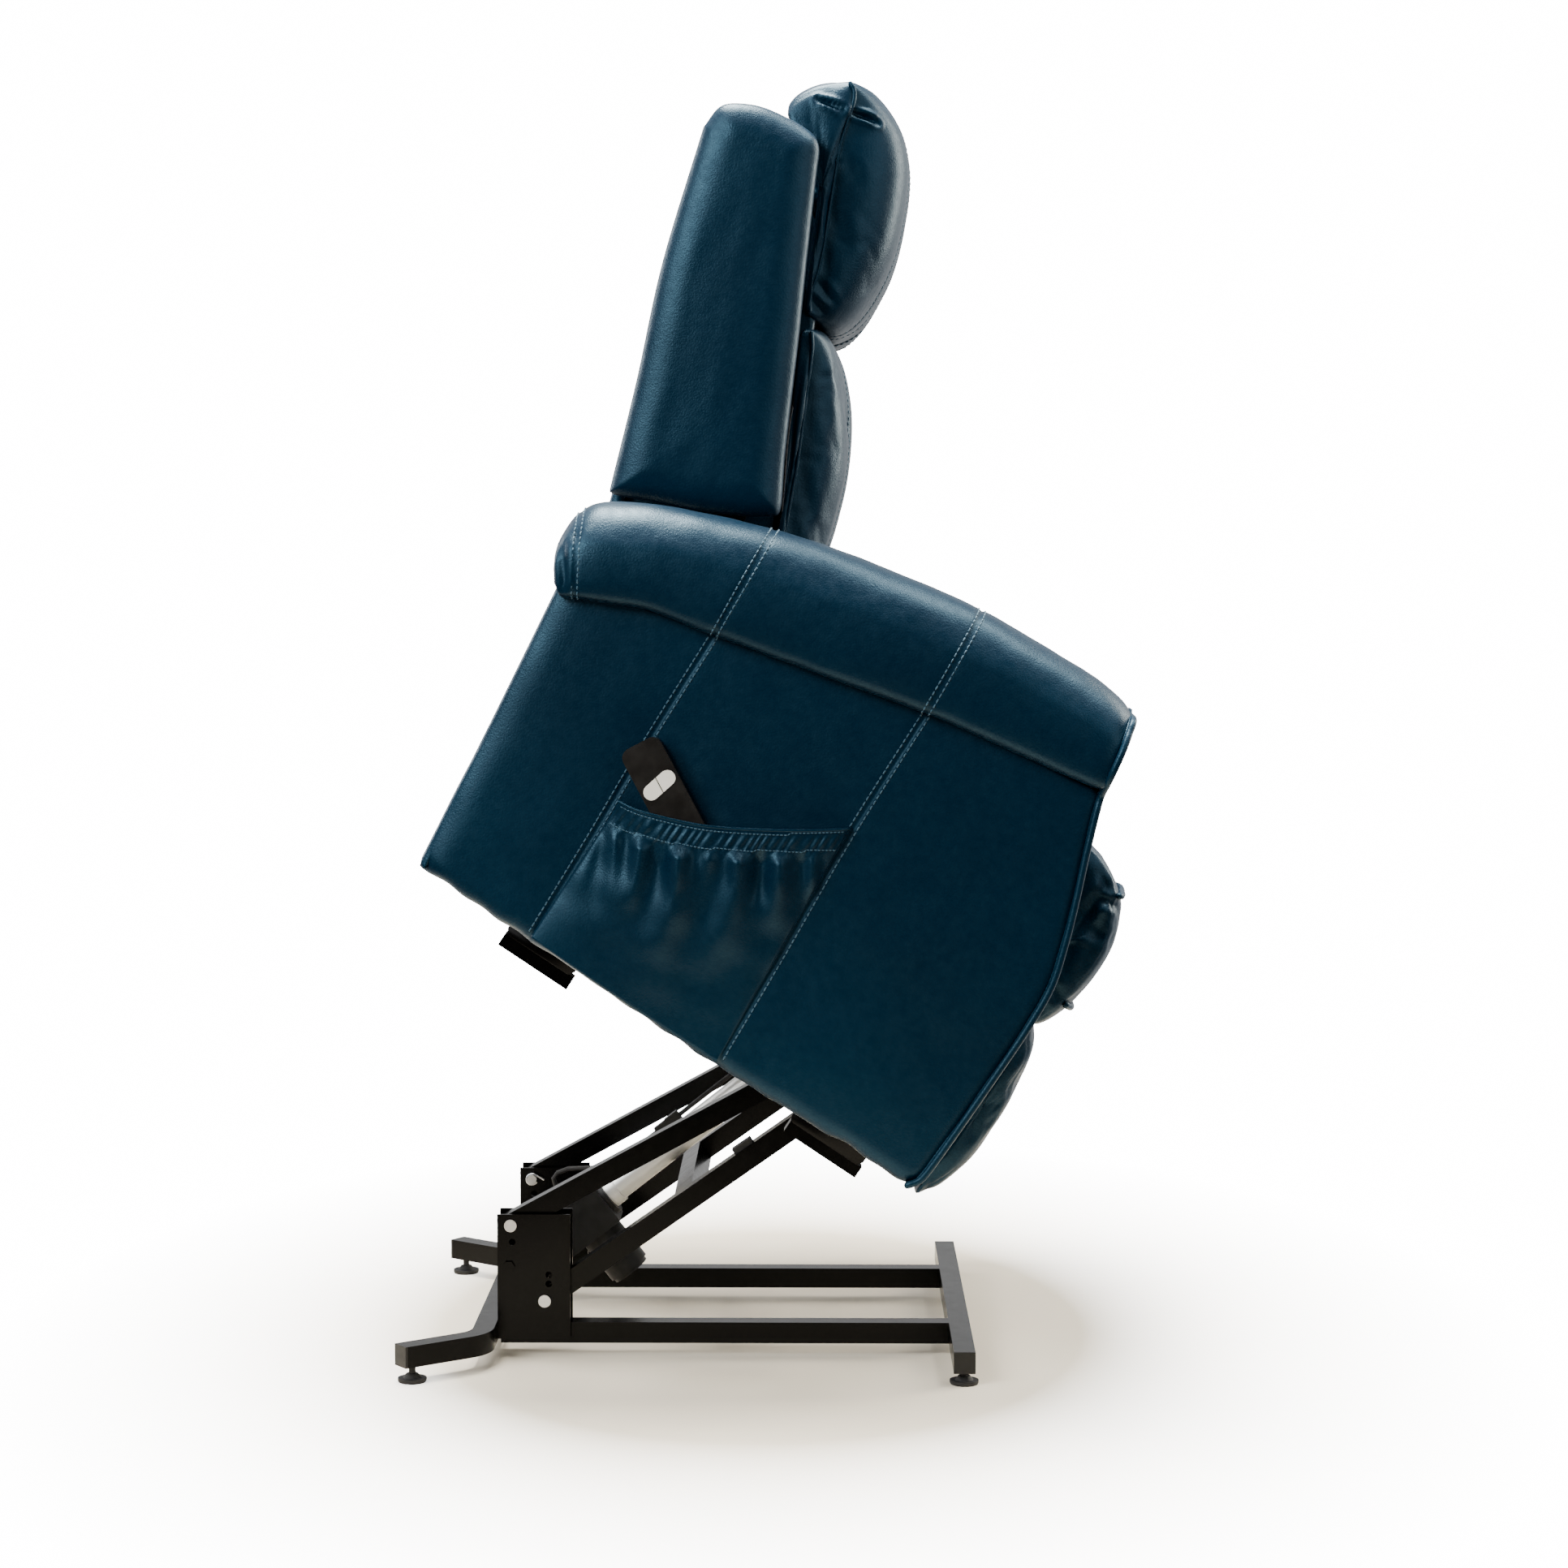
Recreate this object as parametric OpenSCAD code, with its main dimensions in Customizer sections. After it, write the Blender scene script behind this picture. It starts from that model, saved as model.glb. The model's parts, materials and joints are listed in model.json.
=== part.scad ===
// Lift recliner chair, drawn with its lift mechanism fully raised.
// +X is the chair's front, +Y the sitter's left, +Z up, floor at z = 0.
// The upholstered chair is laid out as it stands when seated and level, then
// carried forward by raised() to where the two pairs of lift links hold it.

/* [Base frame] */
// Side of the square steel tube
tube = 25.4; // [22:0.2:28]
// Wall of the square steel tube
wall = 1.6; // [1.2:0.1:2.5]
// Length of the front cross tube with its caps
crossbar_length = 626; // [600:1:640]
// Height of the rail centre above the floor
rail_height = 27.7; // [24:0.1:30]
// Distance from the middle plane to the centre of each rail and link
rail_offset = 152; // [150:1:155]

/* [Lift linkage] */
// Length of the lower link between pivots
lower_link_length = 400; // [395:1:405]
// Length of the upper link between pivots
upper_link_length = 404; // [400:1:408]
// Lower link angle when raised
lower_link_raised = 35; // [30:0.5:36]
// Lower link angle when seated
lower_link_seated = -1.6; // [-2:0.1:0]
// Upper link angle when raised
upper_link_raised = 28.5; // [26:0.5:30]
// Forward tilt of the chair when raised
tilt_raised = 33.7; // [28:0.1:35]
// Radius of the lift pivot pins
pin_r = 6; // [5:0.5:6]

/* [Actuator] */
// Pivot to pivot length when raised
actuator_raised = 500; // [495:1:505]
// Angle of the actuator when raised
actuator_angle = 38; // [37:0.5:39]
// Radius of the aluminium outer tube
actuator_tube_r = 18; // [16:0.5:19]
// Radius of the push rod
rod_r = 10; // [8:0.5:11]

/* [Upholstery] */
// Distance from the middle plane to the inner face of each arm
arm_inner = 284; // [284:1:288]
// Distance from the middle plane to the outside of each arm roll
arm_outer = 432; // [428:1:436]
// Half the width of the seat cushion
seat_half = 276; // [260:1:278]
// Half the width of the headrest pillow
pillow_half = 240; // [220:1:244]
// Half the width of the lumbar cushion
lumbar_half = 236; // [220:1:242]
// Thickness of the leather covered boards
board = 12; // [9:1:12]

/* [Handset] */
// Handset length
handset_length = 150; // [140:1:160]
// Handset width
handset_width = 48; // [46:1:50]
// Length of the two halves of the button capsule together
capsule_length = 42; // [40:0.5:43]
// Width of the button capsule
capsule_width = 18; // [16:0.5:20]

/* [Hidden] */
$fn = 64;

// --- base positions, as [x, z] in the vertical plane
half = tube / 2;
upper_pivot = [-301, 160];
lower_pivot = [-260, 68];
actuator_pivot = [-285, 95];
front_bar_x = 241.5;
rear_bar = [-329.7, 32.4];
bracket_x0 = rear_bar[0] + half;
bracket_x1 = -229;
bracket_z0 = 21.7;
bracket_z1 = 173.6;
bracket_web_z1 = 138;
plate = 3;
inner_plate = rail_offset - 20.5;
outer_plate = rail_offset + 17.5;
cap = 3;
leg_start = 215;
gap = 0.2;
leg_bend_r = 45;
leg_bend = 53;
leg_run = 88.6;
glide_r = 17;
run_fit = 0.05;
stop_bolt = [-303, 110];

// --- linkage positions
function polar(r, a) = [r * cos(a), r * sin(a)];
function turn(p, a) = [p[0] * cos(a) - p[1] * sin(a), p[0] * sin(a) + p[1] * cos(a)];
lower_end_raised = lower_pivot + polar(lower_link_length, lower_link_raised);
lower_end_seated = lower_pivot + polar(lower_link_length, lower_link_seated);
upper_end_raised = upper_pivot + polar(upper_link_length, upper_link_raised);
rod_end_raised = actuator_pivot + polar(actuator_raised, actuator_angle);
function seated(p) = lower_end_seated + turn(p - lower_end_raised, tilt_raised);
upper_end_seated = seated(upper_end_raised);
rod_end_seated = seated(rod_end_raised);
bush_r = 9;
bush_y0 = rail_offset - 16.5;
bush_y1 = rail_offset + 16.5;
loose_eye_r = 12;
loose_boss_r = 17;
crossbar_at = 212;

// --- actuator stations along its axis
gearbox_start = 30;
gearbox_end = 117;
gearbox_half = 33;
tail_half = 20;
tube_end = 362;
collar_end = 370;
motor_at = 78;
motor_r = 27;
motor_end = -95;
rod_start = 215;
lead_r = 3;
lead_low = [[70, 0, 42], [70, 0, 50], [73, -1, 57], [82, -3, 60], [96, -5, 56],
    [112, -7, 45], [128, -9, 34], [148, -11, 27], [180, -12, 25], [214, -12, 25]];
lead_high = [[250, -12, 25], [280, -12, 25], [310, -12, 25], [340, -12, 25]];
connector = [214, 250];

// --- lift frame, seated
lift_y = 215;
lift_z = 208;
lift_x0 = -300;
lift_x1 = 230;
hanger_x = 116;
lift_rear_x = -270;
lift_low = lift_z - half;
lift_high = lift_z + half;
slot_r = 10;
slot_drop = 16;

// --- seat, seated
seat_rear = -255;
seat_top = 330;
rail_thick = 22;
seat_y = 262;
seat_front_rail_z = 268;
spring_z = 332;

// --- recline and legrest pivots, seated
back_pivot = [-275, 350];
rear_link_pivot = [150, 220];
elbow = [157.3, 70.2];
legrest_pivot = [254, 210];
link_pin_r = 5;
link_boss_r = 11;
front_boss_r = 9;

// --- arm outline, seated
function arc_centre(a, b, c) =
    let (d = 2 * (a[0] * (b[1] - c[1]) + b[0] * (c[1] - a[1]) + c[0] * (a[1] - b[1])))
    [(a * a * (b[1] - c[1]) + b * b * (c[1] - a[1]) + c * c * (a[1] - b[1])) / d,
     (a * a * (c[0] - b[0]) + b * b * (a[0] - c[0]) + c * c * (b[0] - a[0])) / d];
// n + 1 points on the short arc from a through b to c
function arc3(a, b, c, n) =
    let (o = arc_centre(a, b, c), r = norm(a - o),
         t0 = atan2(a[1] - o[1], a[0] - o[0]), t1 = atan2(c[1] - o[1], c[0] - o[0]))
    [for (i = [0:n]) o + polar(r, t0 + (t1 - t0) * i / n)];
function shift(points, d) = [for (p = points) p + d];
function flip(points) = [for (i = [len(points) - 1:-1:0]) points[i]];

crease = arc3([-449, 410], [-183, 499], [183, 574], 14);
roll_crown = arc3([132, 673], [-169, 643], [-452, 538], 14);
roll_tail = [[-479, 511], [-484, 472], [-474, 436]];
arm_front = [[259, 87], [263, 230], [263, 300], [259, 356], [245, 405], [205, 510], [184, 569]];
arm_bottom = [[-411, 73], [246, 73]];
roll_shoulder = 22;
shoulder_drop = 30;
panel_out = 404;

// --- pocket and handset, seated
pocket_brim = arc3([-262, 262], [-150, 303], [-29, 380], 8);
pocket_foot = [[-7, 76], [-261, 76]];
pocket_out = 431;
pocket_skin = 3;
handset_top = [-280.5, 328];
handset_lean = 28.5;
handset_y0 = 406;
handset_split = 414;
handset_y1 = 424;
handset_round = 11;
shell = 2;
capsule_at = 52;
capsule_lean = 104;
button_gap = 0.3;
button_rise = 1;
button_depth = 5;

// --- backrest outline, seated
back_rear = [[-398, 335], [-468, 536], [-614, 957]];
wing_y0 = 246;
wing_y1 = 300;
core_half = 226;
post_y1 = 244;

// ------------------------------------------------------------ helpers
// Carries seated geometry to where the raised links hold it
module raised() {
    translate([lower_end_raised[0], 0, lower_end_raised[1]])
        rotate([0, tilt_raised, 0])
            translate([-lower_end_seated[0], 0, -lower_end_seated[1]])
                children();
}

// Outline in the vertical XZ plane, thick from y0 to y1
module slab(points, y0, y1) {
    translate([0, y1, 0]) rotate([90, 0, 0]) linear_extrude(y1 - y0) polygon(points);
}

// The same slab on both sides of the middle plane
module slabs(points, y0, y1) {
    slab(points, y0, y1);
    slab(points, -y1, -y0);
}

module rod_y(r, y0, y1, p) {
    translate([p[0], y1, p[1]]) rotate([90, 0, 0]) cylinder(r = r, h = y1 - y0);
}

module both_sides() {
    children();
    mirror([0, 1, 0]) children();
}

// Hollow square tube along its own X axis
module tube_run(length) {
    difference() {
        translate([0, -half, -half]) cube([length, tube, tube]);
        translate([-1, wall - half, wall - half])
            cube([length + 2, tube - 2 * wall, tube - 2 * wall]);
    }
}

module tube_x(x0, x1, y, z) {
    translate([x0, y, z]) tube_run(x1 - x0);
}

module tube_y(y0, y1, p) {
    translate([p[0], y0, p[1]]) rotate([0, 0, 90]) tube_run(y1 - y0);
}

// Box between two corners
module block(a, b) {
    translate(a) cube(b - a);
}

module at_link(p, angle) {
    translate([p[0], 0, p[1]]) rotate([0, -angle, 0]) children();
}

module at_actuator() {
    at_link(actuator_pivot, actuator_angle) children();
}

// Flat bar with round bosses and two eyes, from p to q
module flat_bar(p, q, boss_r, eye_p, eye_q, y0, y1) {
    d = q - p;
    bar_half = boss_r - 2;
    difference() {
        union() {
            rod_y(boss_r, y0, y1, p);
            rod_y(boss_r, y0, y1, q);
            at_link(p, atan2(d[1], d[0]))
                block([0, y0, -bar_half], [norm(d), y1, bar_half]);
        }
        rod_y(eye_p, y0 - 1, y1 + 1, p);
        rod_y(eye_q, y0 - 1, y1 + 1, q);
    }
}

// Round cord along a list of points whose direction is never along Y
module cord(route, r, sides) {
    last = len(route) - 1;
    function along(i) =
        let (d = route[min(i + 1, last)] - route[max(i - 1, 0)]) d / norm(d);
    function ring(i) =
        let (u = cross(along(i), [0, 1, 0]), n = u / norm(u), b = cross(n, along(i)))
        [for (k = [0:sides - 1]) route[i] + r * (cos(k * 360 / sides) * b
            + sin(k * 360 / sides) * n)];
    points = [for (i = [0:last]) each ring(i)];
    walls = [for (i = [0:last - 1], k = [0:sides - 1]) let (m = (k + 1) % sides)
        [i * sides + k, i * sides + m, (i + 1) * sides + m, (i + 1) * sides + k]];
    ends = [[for (k = [sides - 1:-1:0]) k], [for (k = [0:sides - 1]) last * sides + k]];
    polyhedron(points, concat(walls, ends));
}

// ------------------------------------------------------------ base
module front_crossbar() {
    y = crossbar_length / 2 - cap;
    color("black") tube_y(-y, y, [front_bar_x, rail_height]);
}

module base_rails() {
    color("black") both_sides()
        tube_x(bracket_x0 + plate, front_bar_x - half, rail_offset, rail_height);
}

module rear_cross_tube() {
    color("black") tube_y(-leg_start, leg_start, rear_bar);
}

// Bend and splayed foot of the rear tube, for the left side
module rear_leg() {
    bend_x = rear_bar[0] - leg_bend_r;
    translate([bend_x, leg_start, rear_bar[1]]) {
        rotate_extrude(angle = leg_bend) translate([leg_bend_r, 0]) difference() {
            square(tube, center = true);
            square(tube - 2 * wall, center = true);
        }
        rotate([0, 0, leg_bend]) translate([leg_bend_r, 0, 0])
            rotate([0, 0, 90]) tube_run(leg_run - cap);
    }
}

module at_leg_end(back) {
    translate([rear_bar[0] - leg_bend_r, leg_start, 0]) rotate([0, 0, leg_bend])
        translate([leg_bend_r, leg_run - back, 0]) children();
}

module rear_legs() {
    color("black") both_sides() rear_leg();
}

module tube_end_caps() {
    y = crossbar_length / 2;
    color("dimgray") both_sides() {
        translate([front_bar_x - half, y - cap, rail_height - half]) cube([tube, cap, tube]);
        at_leg_end(cap) translate([-half, 0, rear_bar[1] - half]) cube([tube, cap, tube]);
    }
}

module glide(top) {
    cylinder(r1 = glide_r - 1, r2 = glide_r, h = 2);
    translate([0, 0, 2]) cylinder(r = glide_r, h = 3);
    translate([0, 0, 5]) cylinder(r1 = 11, r2 = 7, h = 5);
    translate([0, 0, 10]) cylinder(r = 4, h = top - 10);
}

module foot_glides() {
    color("black") both_sides() {
        translate([front_bar_x, 298, 0]) glide(rail_height - half);
        at_leg_end(16) glide(rear_bar[1] - half);
    }
}

module pivot_bracket() {
    difference() {
        union() {
            block([bracket_x0, inner_plate, bracket_z0],
                [bracket_x1, inner_plate + plate, bracket_z1]);
            block([bracket_x0, outer_plate, bracket_z0],
                [bracket_x1, outer_plate + plate, bracket_z1]);
            block([bracket_x0, inner_plate, bracket_z0],
                [bracket_x0 + plate, outer_plate + plate, bracket_web_z1]);
        }
        for (p = [upper_pivot, lower_pivot])
            rod_y(pin_r + run_fit, inner_plate - 1, outer_plate + plate + 1, p);
        for (p = [upper_pivot + [2, -20], lower_pivot + [5, 21], lower_pivot + [5, 32]])
            rod_y(4, inner_plate - 1, outer_plate + plate + 1, p);
        rod_y(5 + run_fit, inner_plate - 1, outer_plate + plate + 1, stop_bolt);
    }
}

module pivot_brackets() {
    color("black") both_sides() pivot_bracket();
}

module base_pivot_pins() {
    head = 2.5;
    color("silver") {
        both_sides() for (p = [upper_pivot, lower_pivot]) {
            rod_y(pin_r, inner_plate - 11, outer_plate + plate, p);
            rod_y(pin_r + 1.5, outer_plate + plate, outer_plate + plate + head, p);
        }
        rod_y(pin_r, -30, 30, actuator_pivot);
        rod_y(pin_r + 2, 30, 30 + head, actuator_pivot);
    }
}

// Spring wire clip round the inner end of each clevis pin
module hairpin_clips() {
    wire = 1;
    color("silver") both_sides() for (p = [upper_pivot, lower_pivot])
        translate([p[0], inner_plate - 7, p[1]]) rotate([90, 0, 0]) {
            rotate([0, 0, 60]) rotate_extrude(angle = 270)
                translate([pin_r + wire + 0.2, 0]) circle(wire, $fn = 16);
            rotate([0, 0, 60]) translate([pin_r + wire + 0.2, 0, 0])
                rotate([90, 0, 0]) cylinder(r = wire, h = 14, $fn = 16);
        }
}

module stop_bolts() {
    color("black") both_sides() {
        rod_y(5, inner_plate, outer_plate + plate, stop_bolt);
        translate([stop_bolt[0], outer_plate + plate + 4, stop_bolt[1]])
            rotate([90, 0, 0]) cylinder(r = 7.5, h = 4, $fn = 6);
        translate([stop_bolt[0], inner_plate, stop_bolt[1]])
            rotate([90, 0, 0]) cylinder(r = 7.5, h = 6, $fn = 6);
    }
}

module actuator_mount() {
    boss = 14;
    color("black") both_sides() difference() {
        union() {
            block([bracket_x0, 22, 22], [actuator_pivot[0], 26, actuator_pivot[1] + boss]);
            rod_y(boss, 22, 26, actuator_pivot);
        }
        rod_y(pin_r + run_fit, 21, 27, actuator_pivot);
    }
}

// ------------------------------------------------------------ lift links
module upper_link() {
    at_link(upper_pivot, upper_link_raised) translate([0, rail_offset, 0]) difference() {
        union() {
            translate([-half, 0, 0]) tube_run(upper_link_length);
            rod_y(loose_boss_r, -half, half, [upper_link_length, 0]);
        }
        rod_y(bush_r, -half - 1, half + 1, [0, 0]);
        rod_y(loose_eye_r, -half - 1, half + 1, [upper_link_length, 0]);
    }
}

module upper_links() {
    color("black") both_sides() upper_link();
}

module bush(p) {
    difference() {
        rod_y(bush_r, bush_y0, bush_y1, p);
        rod_y(pin_r + run_fit, bush_y0 - 1, bush_y1 + 1, p);
    }
}

module upper_link_bushes() {
    color("dimgray") both_sides() bush(upper_pivot);
}

module lower_link() {
    at_link(lower_pivot, lower_link_raised) translate([0, rail_offset, 0]) difference() {
        translate([-half, 0, 0]) tube_run(lower_link_length + tube);
        rod_y(bush_r, -half - 1, half + 1, [0, 0]);
        rod_y(bush_r, -half - 1, half + 1, [lower_link_length, 0]);
    }
}

module lower_links() {
    color("black") both_sides() lower_link();
}

module lower_link_crossbar() {
    y = rail_offset - half;
    color("black") at_link(lower_pivot, lower_link_raised) tube_y(-y, y, [crossbar_at, 0]);
}

module lower_link_bushes() {
    color("dimgray") both_sides() {
        bush(lower_pivot);
        bush(lower_end_raised);
    }
}

module link_bumpers() {
    color("black") both_sides() at_link(lower_pivot, lower_link_raised)
        translate([290, rail_offset - 9, half]) cube([26, 18, 7]);
}

// ------------------------------------------------------------ actuator
module actuator_gearbox() {
    boss_y = 14;
    color("black") at_actuator() difference() {
        union() {
            rod_y(13, -tail_half, tail_half, [0, 0]);
            block([0, -tail_half, -13], [gearbox_start, tail_half, 13]);
            block([gearbox_start, -31, -gearbox_half], [gearbox_end - 6, 31, gearbox_half]);
            translate([gearbox_end - 6, 0, 0]) rotate([0, 90, 0]) cylinder(r = 27, h = 6);
            block([48, -boss_y, gearbox_half], [92, boss_y, gearbox_half + 9]);
        }
        rod_y(pin_r + run_fit, -tail_half - 1, tail_half + 1, [0, 0]);
    }
}

module actuator_motor() {
    color("black") at_actuator() translate([motor_at, 0, motor_end]) {
        cylinder(r = motor_r - 3, h = 5);
        translate([0, 0, 5]) cylinder(r = motor_r, h = -gearbox_half - motor_end - 5);
    }
}

module actuator_tube() {
    color("silver") at_actuator() rotate([0, 90, 0]) difference() {
        union() {
            translate([0, 0, gearbox_end]) cylinder(r = actuator_tube_r, h = tube_end - gearbox_end);
            translate([0, 0, gearbox_end]) cylinder(r = actuator_tube_r + 2.5, h = 14);
            translate([0, 0, tube_end]) cylinder(r = actuator_tube_r + 2, h = collar_end - tube_end);
            translate([-28, -20, 340]) cube([28, 16, tube_end - 340]);
        }
        translate([0, 0, gearbox_end - 1]) cylinder(r = actuator_tube_r - 2, h = tube_end - gearbox_end + 1);
        translate([0, 0, tube_end - 1]) cylinder(r = rod_r + run_fit, h = 20);
    }
}

module actuator_spindle() {
    color("silver") at_actuator() translate([gearbox_end, 0, 0]) rotate([0, 90, 0])
        cylinder(r = 6, h = 220);
}

module actuator_lead() {
    color("black") at_actuator() {
        cord(lead_low, lead_r, 10);
        cord(lead_high, lead_r, 10);
    }
}

module lead_connector() {
    y = lead_low[len(lead_low) - 1][1];
    z = lead_low[len(lead_low) - 1][2];
    middle = (connector[0] + connector[1]) / 2;
    color("black") at_actuator() {
        block([connector[0], y - 6, z - 5], [middle - 1, y + 6, z + 6]);
        block([middle - 1, y - 7, z - 6], [connector[1], y + 7, z + 7]);
    }
}

module actuator_rod() {
    color("silver") at_actuator() difference() {
        union() {
            translate([rod_start, 0, 0]) rotate([0, 90, 0])
                cylinder(r = rod_r, h = actuator_raised - rod_start);
            rod_y(14, -rod_r, rod_r, [actuator_raised, 0]);
        }
        rod_y(pin_r, -20, 20, [actuator_raised, 0]);
        translate([rod_start - 1, 0, 0]) rotate([0, 90, 0]) cylinder(r = 7.5, h = 236);
    }
}

module rod_pin() {
    color("silver") rod_y(pin_r, -22, 22, rod_end_raised);
}

// ------------------------------------------------------------ lift frame
module lift_frame() {
    inner = lift_y - half;
    color("black") raised() {
        both_sides() tube_x(lift_x0, lift_x1, lift_y, lift_z);
        for (x = [hanger_x, lift_rear_x]) tube_y(gap - inner, inner - gap, [x, lift_z]);
    }
}

// Plates that hang from the front cross tube and carry both link ends
module link_hangers() {
    outline = [[84, lift_low], [148, lift_low], [154, 70], [154, 44], [126, 44], [82, 88]];
    color("black") raised() difference() {
        union() {
            slabs(outline, inner_plate, inner_plate + plate);
            slabs(outline, outer_plate, outer_plate + plate);
        }
        for (p = [upper_end_seated, lower_end_seated])
            rod_y(pin_r, -200, 200, p);
    }
}

module frame_pins() {
    color("silver") raised() both_sides() {
        for (p = [upper_end_seated, lower_end_seated])
            rod_y(pin_r, inner_plate - 3, outer_plate + plate + 3, p);
        rod_y(pin_r, 245, 269, back_pivot);
        rod_y(link_pin_r, 191, lift_y - half, rear_link_pivot);
    }
}

// Slotted ears: the slot lets the push rod run free over the chair's path
module actuator_clevis() {
    f = rod_end_seated;
    color("black") raised() both_sides() difference() {
        slab([[hanger_x - 24, lift_low], [hanger_x + 24, lift_low],
            [hanger_x + 18, f[1] - slot_drop - 18], [hanger_x - 18, f[1] - slot_drop - 18]],
            13, 18);
        rod_y(slot_r, 12, 19, f);
        rod_y(slot_r, 12, 19, f - [0, slot_drop]);
        block([f[0] - slot_r, 12, f[1] - slot_drop], [f[0] + slot_r, 19, f[1]]);
    }
}

module skid(x0, x1, post, z0, z1) {
    y0 = lift_y - 12;
    y1 = lift_y + 12;
    block([x0, y0, z0], [x1, y1, z1]);
    block([post, y0, z1 + gap], [post + 24, y1, lift_low]);
}

module skids() {
    color("black") raised() both_sides() {
        skid(115, 216, 160, 26, 41);
        skid(-290, -193, -256, 23, 40);
    }
}

// ------------------------------------------------------------ seat
module seat_frame() {
    rear_end = seat_rear + rail_thick;
    color("burlywood") raised() {
        both_sides() {
            block([rear_end + gap, seat_y - rail_thick, lift_high], [192 - gap, seat_y, seat_top]);
            block([192, lift_y - 12, lift_high], [214, lift_y + 12, seat_front_rail_z - gap]);
        }
        block([seat_rear, -seat_y, lift_high], [rear_end, seat_y, seat_top]);
        block([192, -seat_y, seat_front_rail_z], [214, seat_y, seat_top]);
    }
}

// Sinuous springs from the rear rail to the front rail
module seat_springs() {
    pitch = 17.5;
    reach = 14;
    turns = 25;
    x0 = -235;
    mid = [for (i = [0:turns]) [x0 + pitch * i, i % 2 == 0 ? -reach : reach]];
    thick = 2.4;
    strip = concat(shift(mid, [0, -thick]), flip(shift(mid, [0, thick])));
    color("gray") raised() for (y = [-200, -100, 0, 100, 200])
        translate([0, y, seat_top]) linear_extrude(4) polygon(strip);
}

module seat_cushion() {
    outline = [[-222, 336], [211, 336], [211, 506], [120, 492], [-60, 472], [-222, 462]];
    color("midnightblue") raised() slab(outline, -seat_half, seat_half);
}

module knee_roll() {
    bulge = arc3([240, 516], [319, 396], [296, 298], 12);
    color("midnightblue") raised()
        slab(concat([[215, 300], [215, 510]], bulge), -seat_half + 2, seat_half - 2);
}

// ------------------------------------------------------------ arms
module arm_frames() {
    y0 = 320;
    y1 = 370;
    rail = arc3([-400, 404], [-183, 474], [150, 544], 8);
    color("burlywood") raised() {
        slabs([[-398, 76], [236, 76], [236, 98], [-400, 98]], y0, y1);
        slabs([[190, 98 + gap], [212, 98 + gap], [212, 430], [190, 500]], y0, y1);
        slabs([[-398, 98 + gap], [-376, 98 + gap], [-406, 380], [-428, 380]], y0, y1);
        slabs(concat(rail, flip(shift(rail, [0, -22]))), y0, y1);
    }
}

module arm_outer_panels() {
    top = flip(crease);
    outline = concat(arm_bottom, arm_front, top);
    color("midnightblue") raised() slabs(outline, panel_out - board, panel_out);
}

module arm_inner_panels() {
    lower = [[-424, 200], [250, 200], [250, 380], [190, 520]];
    color("midnightblue") raised()
        slabs(concat(lower, flip(crease)), arm_inner, arm_inner + board);
}

// Front facing and rear panel, which close the ends of each arm
module arm_end_panels() {
    front = [for (p = arm_front) if (p[1] < 560) p];
    y0 = arm_inner + board;
    y1 = panel_out - board;
    color("midnightblue") raised() {
        slabs(concat(front, flip(shift(front, [-board, 0]))), y0, y1);
        slabs([[-412, 73], [-400, 73], [-436, 404], [-448, 404]], y0, y1);
    }
}

module arm_roll() {
    outline = concat(crease, [[162, 665]], roll_crown, roll_tail);
    lowered = concat(crease, [[162, 665 - shoulder_drop]],
        shift(roll_crown, [0, -shoulder_drop]), [[-470, 472], [-466, 436]]);
    slab(lowered, arm_inner, arm_inner + roll_shoulder);
    slab(outline, arm_inner + roll_shoulder, arm_outer);
}

module arm_roll_left() {
    color("midnightblue") raised() arm_roll();
}

module arm_roll_right() {
    color("midnightblue") raised() mirror([0, 1, 0]) arm_roll();
}

module rear_lower_panel() {
    color("midnightblue") raised()
        slab([[-412, 76], [-400, 76], [-425, 280], [-437, 280]], -arm_inner + 1, arm_inner - 1);
}

// ------------------------------------------------------------ pocket and handset
// Open topped pouch on the right arm: a front sheet and three narrow sides
module side_pocket() {
    outer = concat(pocket_brim, pocket_foot);
    color("midnightblue") raised() {
        slab(outer, -pocket_out, -pocket_out + pocket_skin);
        for (side = [[[-262, 262], [-261, 76], [-255, 76], [-256, 264]],
                [[-29, 380], [-7, 76], [-13, 76], [-35, 374]],
                [[-255 + gap, 76], [-13 - gap, 76], [-13 - gap, 82], [-255 + gap, 82]]])
            slab(side, -pocket_out + pocket_skin + gap, -panel_out);
    }
}

// Handset frame: X down its length from the top end, Z across its width
module at_handset() {
    raised() translate([handset_top[0], 0, handset_top[1]]) rotate([0, handset_lean, 0])
        children();
}

module handset_outline(inset) {
    r = handset_round - inset;
    w = handset_width / 2 - inset;
    for (x = [inset + r, handset_length - inset - r], z = [r - w, w - r])
        translate([x, z]) circle(r);
    translate([inset + r, -w]) square([handset_length - 2 * inset - 2 * r, 2 * w]);
    translate([inset, r - w]) square([handset_length - 2 * inset, 2 * (w - r)]);
}

module handset_slab(inset, y0, y1) {
    translate([0, y1, 0]) rotate([90, 0, 0]) linear_extrude(y1 - y0) handset_outline(inset);
}

// Capsule across the handset, leaning from square to its length
module capsule(grow, y0, y1) {
    run = capsule_length - capsule_width;
    translate([capsule_at, y1, 0]) rotate([90, 0, 0]) rotate([0, 0, capsule_lean])
        linear_extrude(y1 - y0) {
            for (s = [-1, 1]) translate([s * run / 2, 0]) circle(capsule_width / 2 + grow);
            translate([-run / 2, -capsule_width / 2 - grow]) square([run, capsule_width + 2 * grow]);
        }
}

module handset_back() {
    color("black") at_handset() difference() {
        handset_slab(0, -handset_split, -handset_y0);
        handset_slab(shell, -handset_split - 1, -handset_y0 - shell);
    }
}

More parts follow.
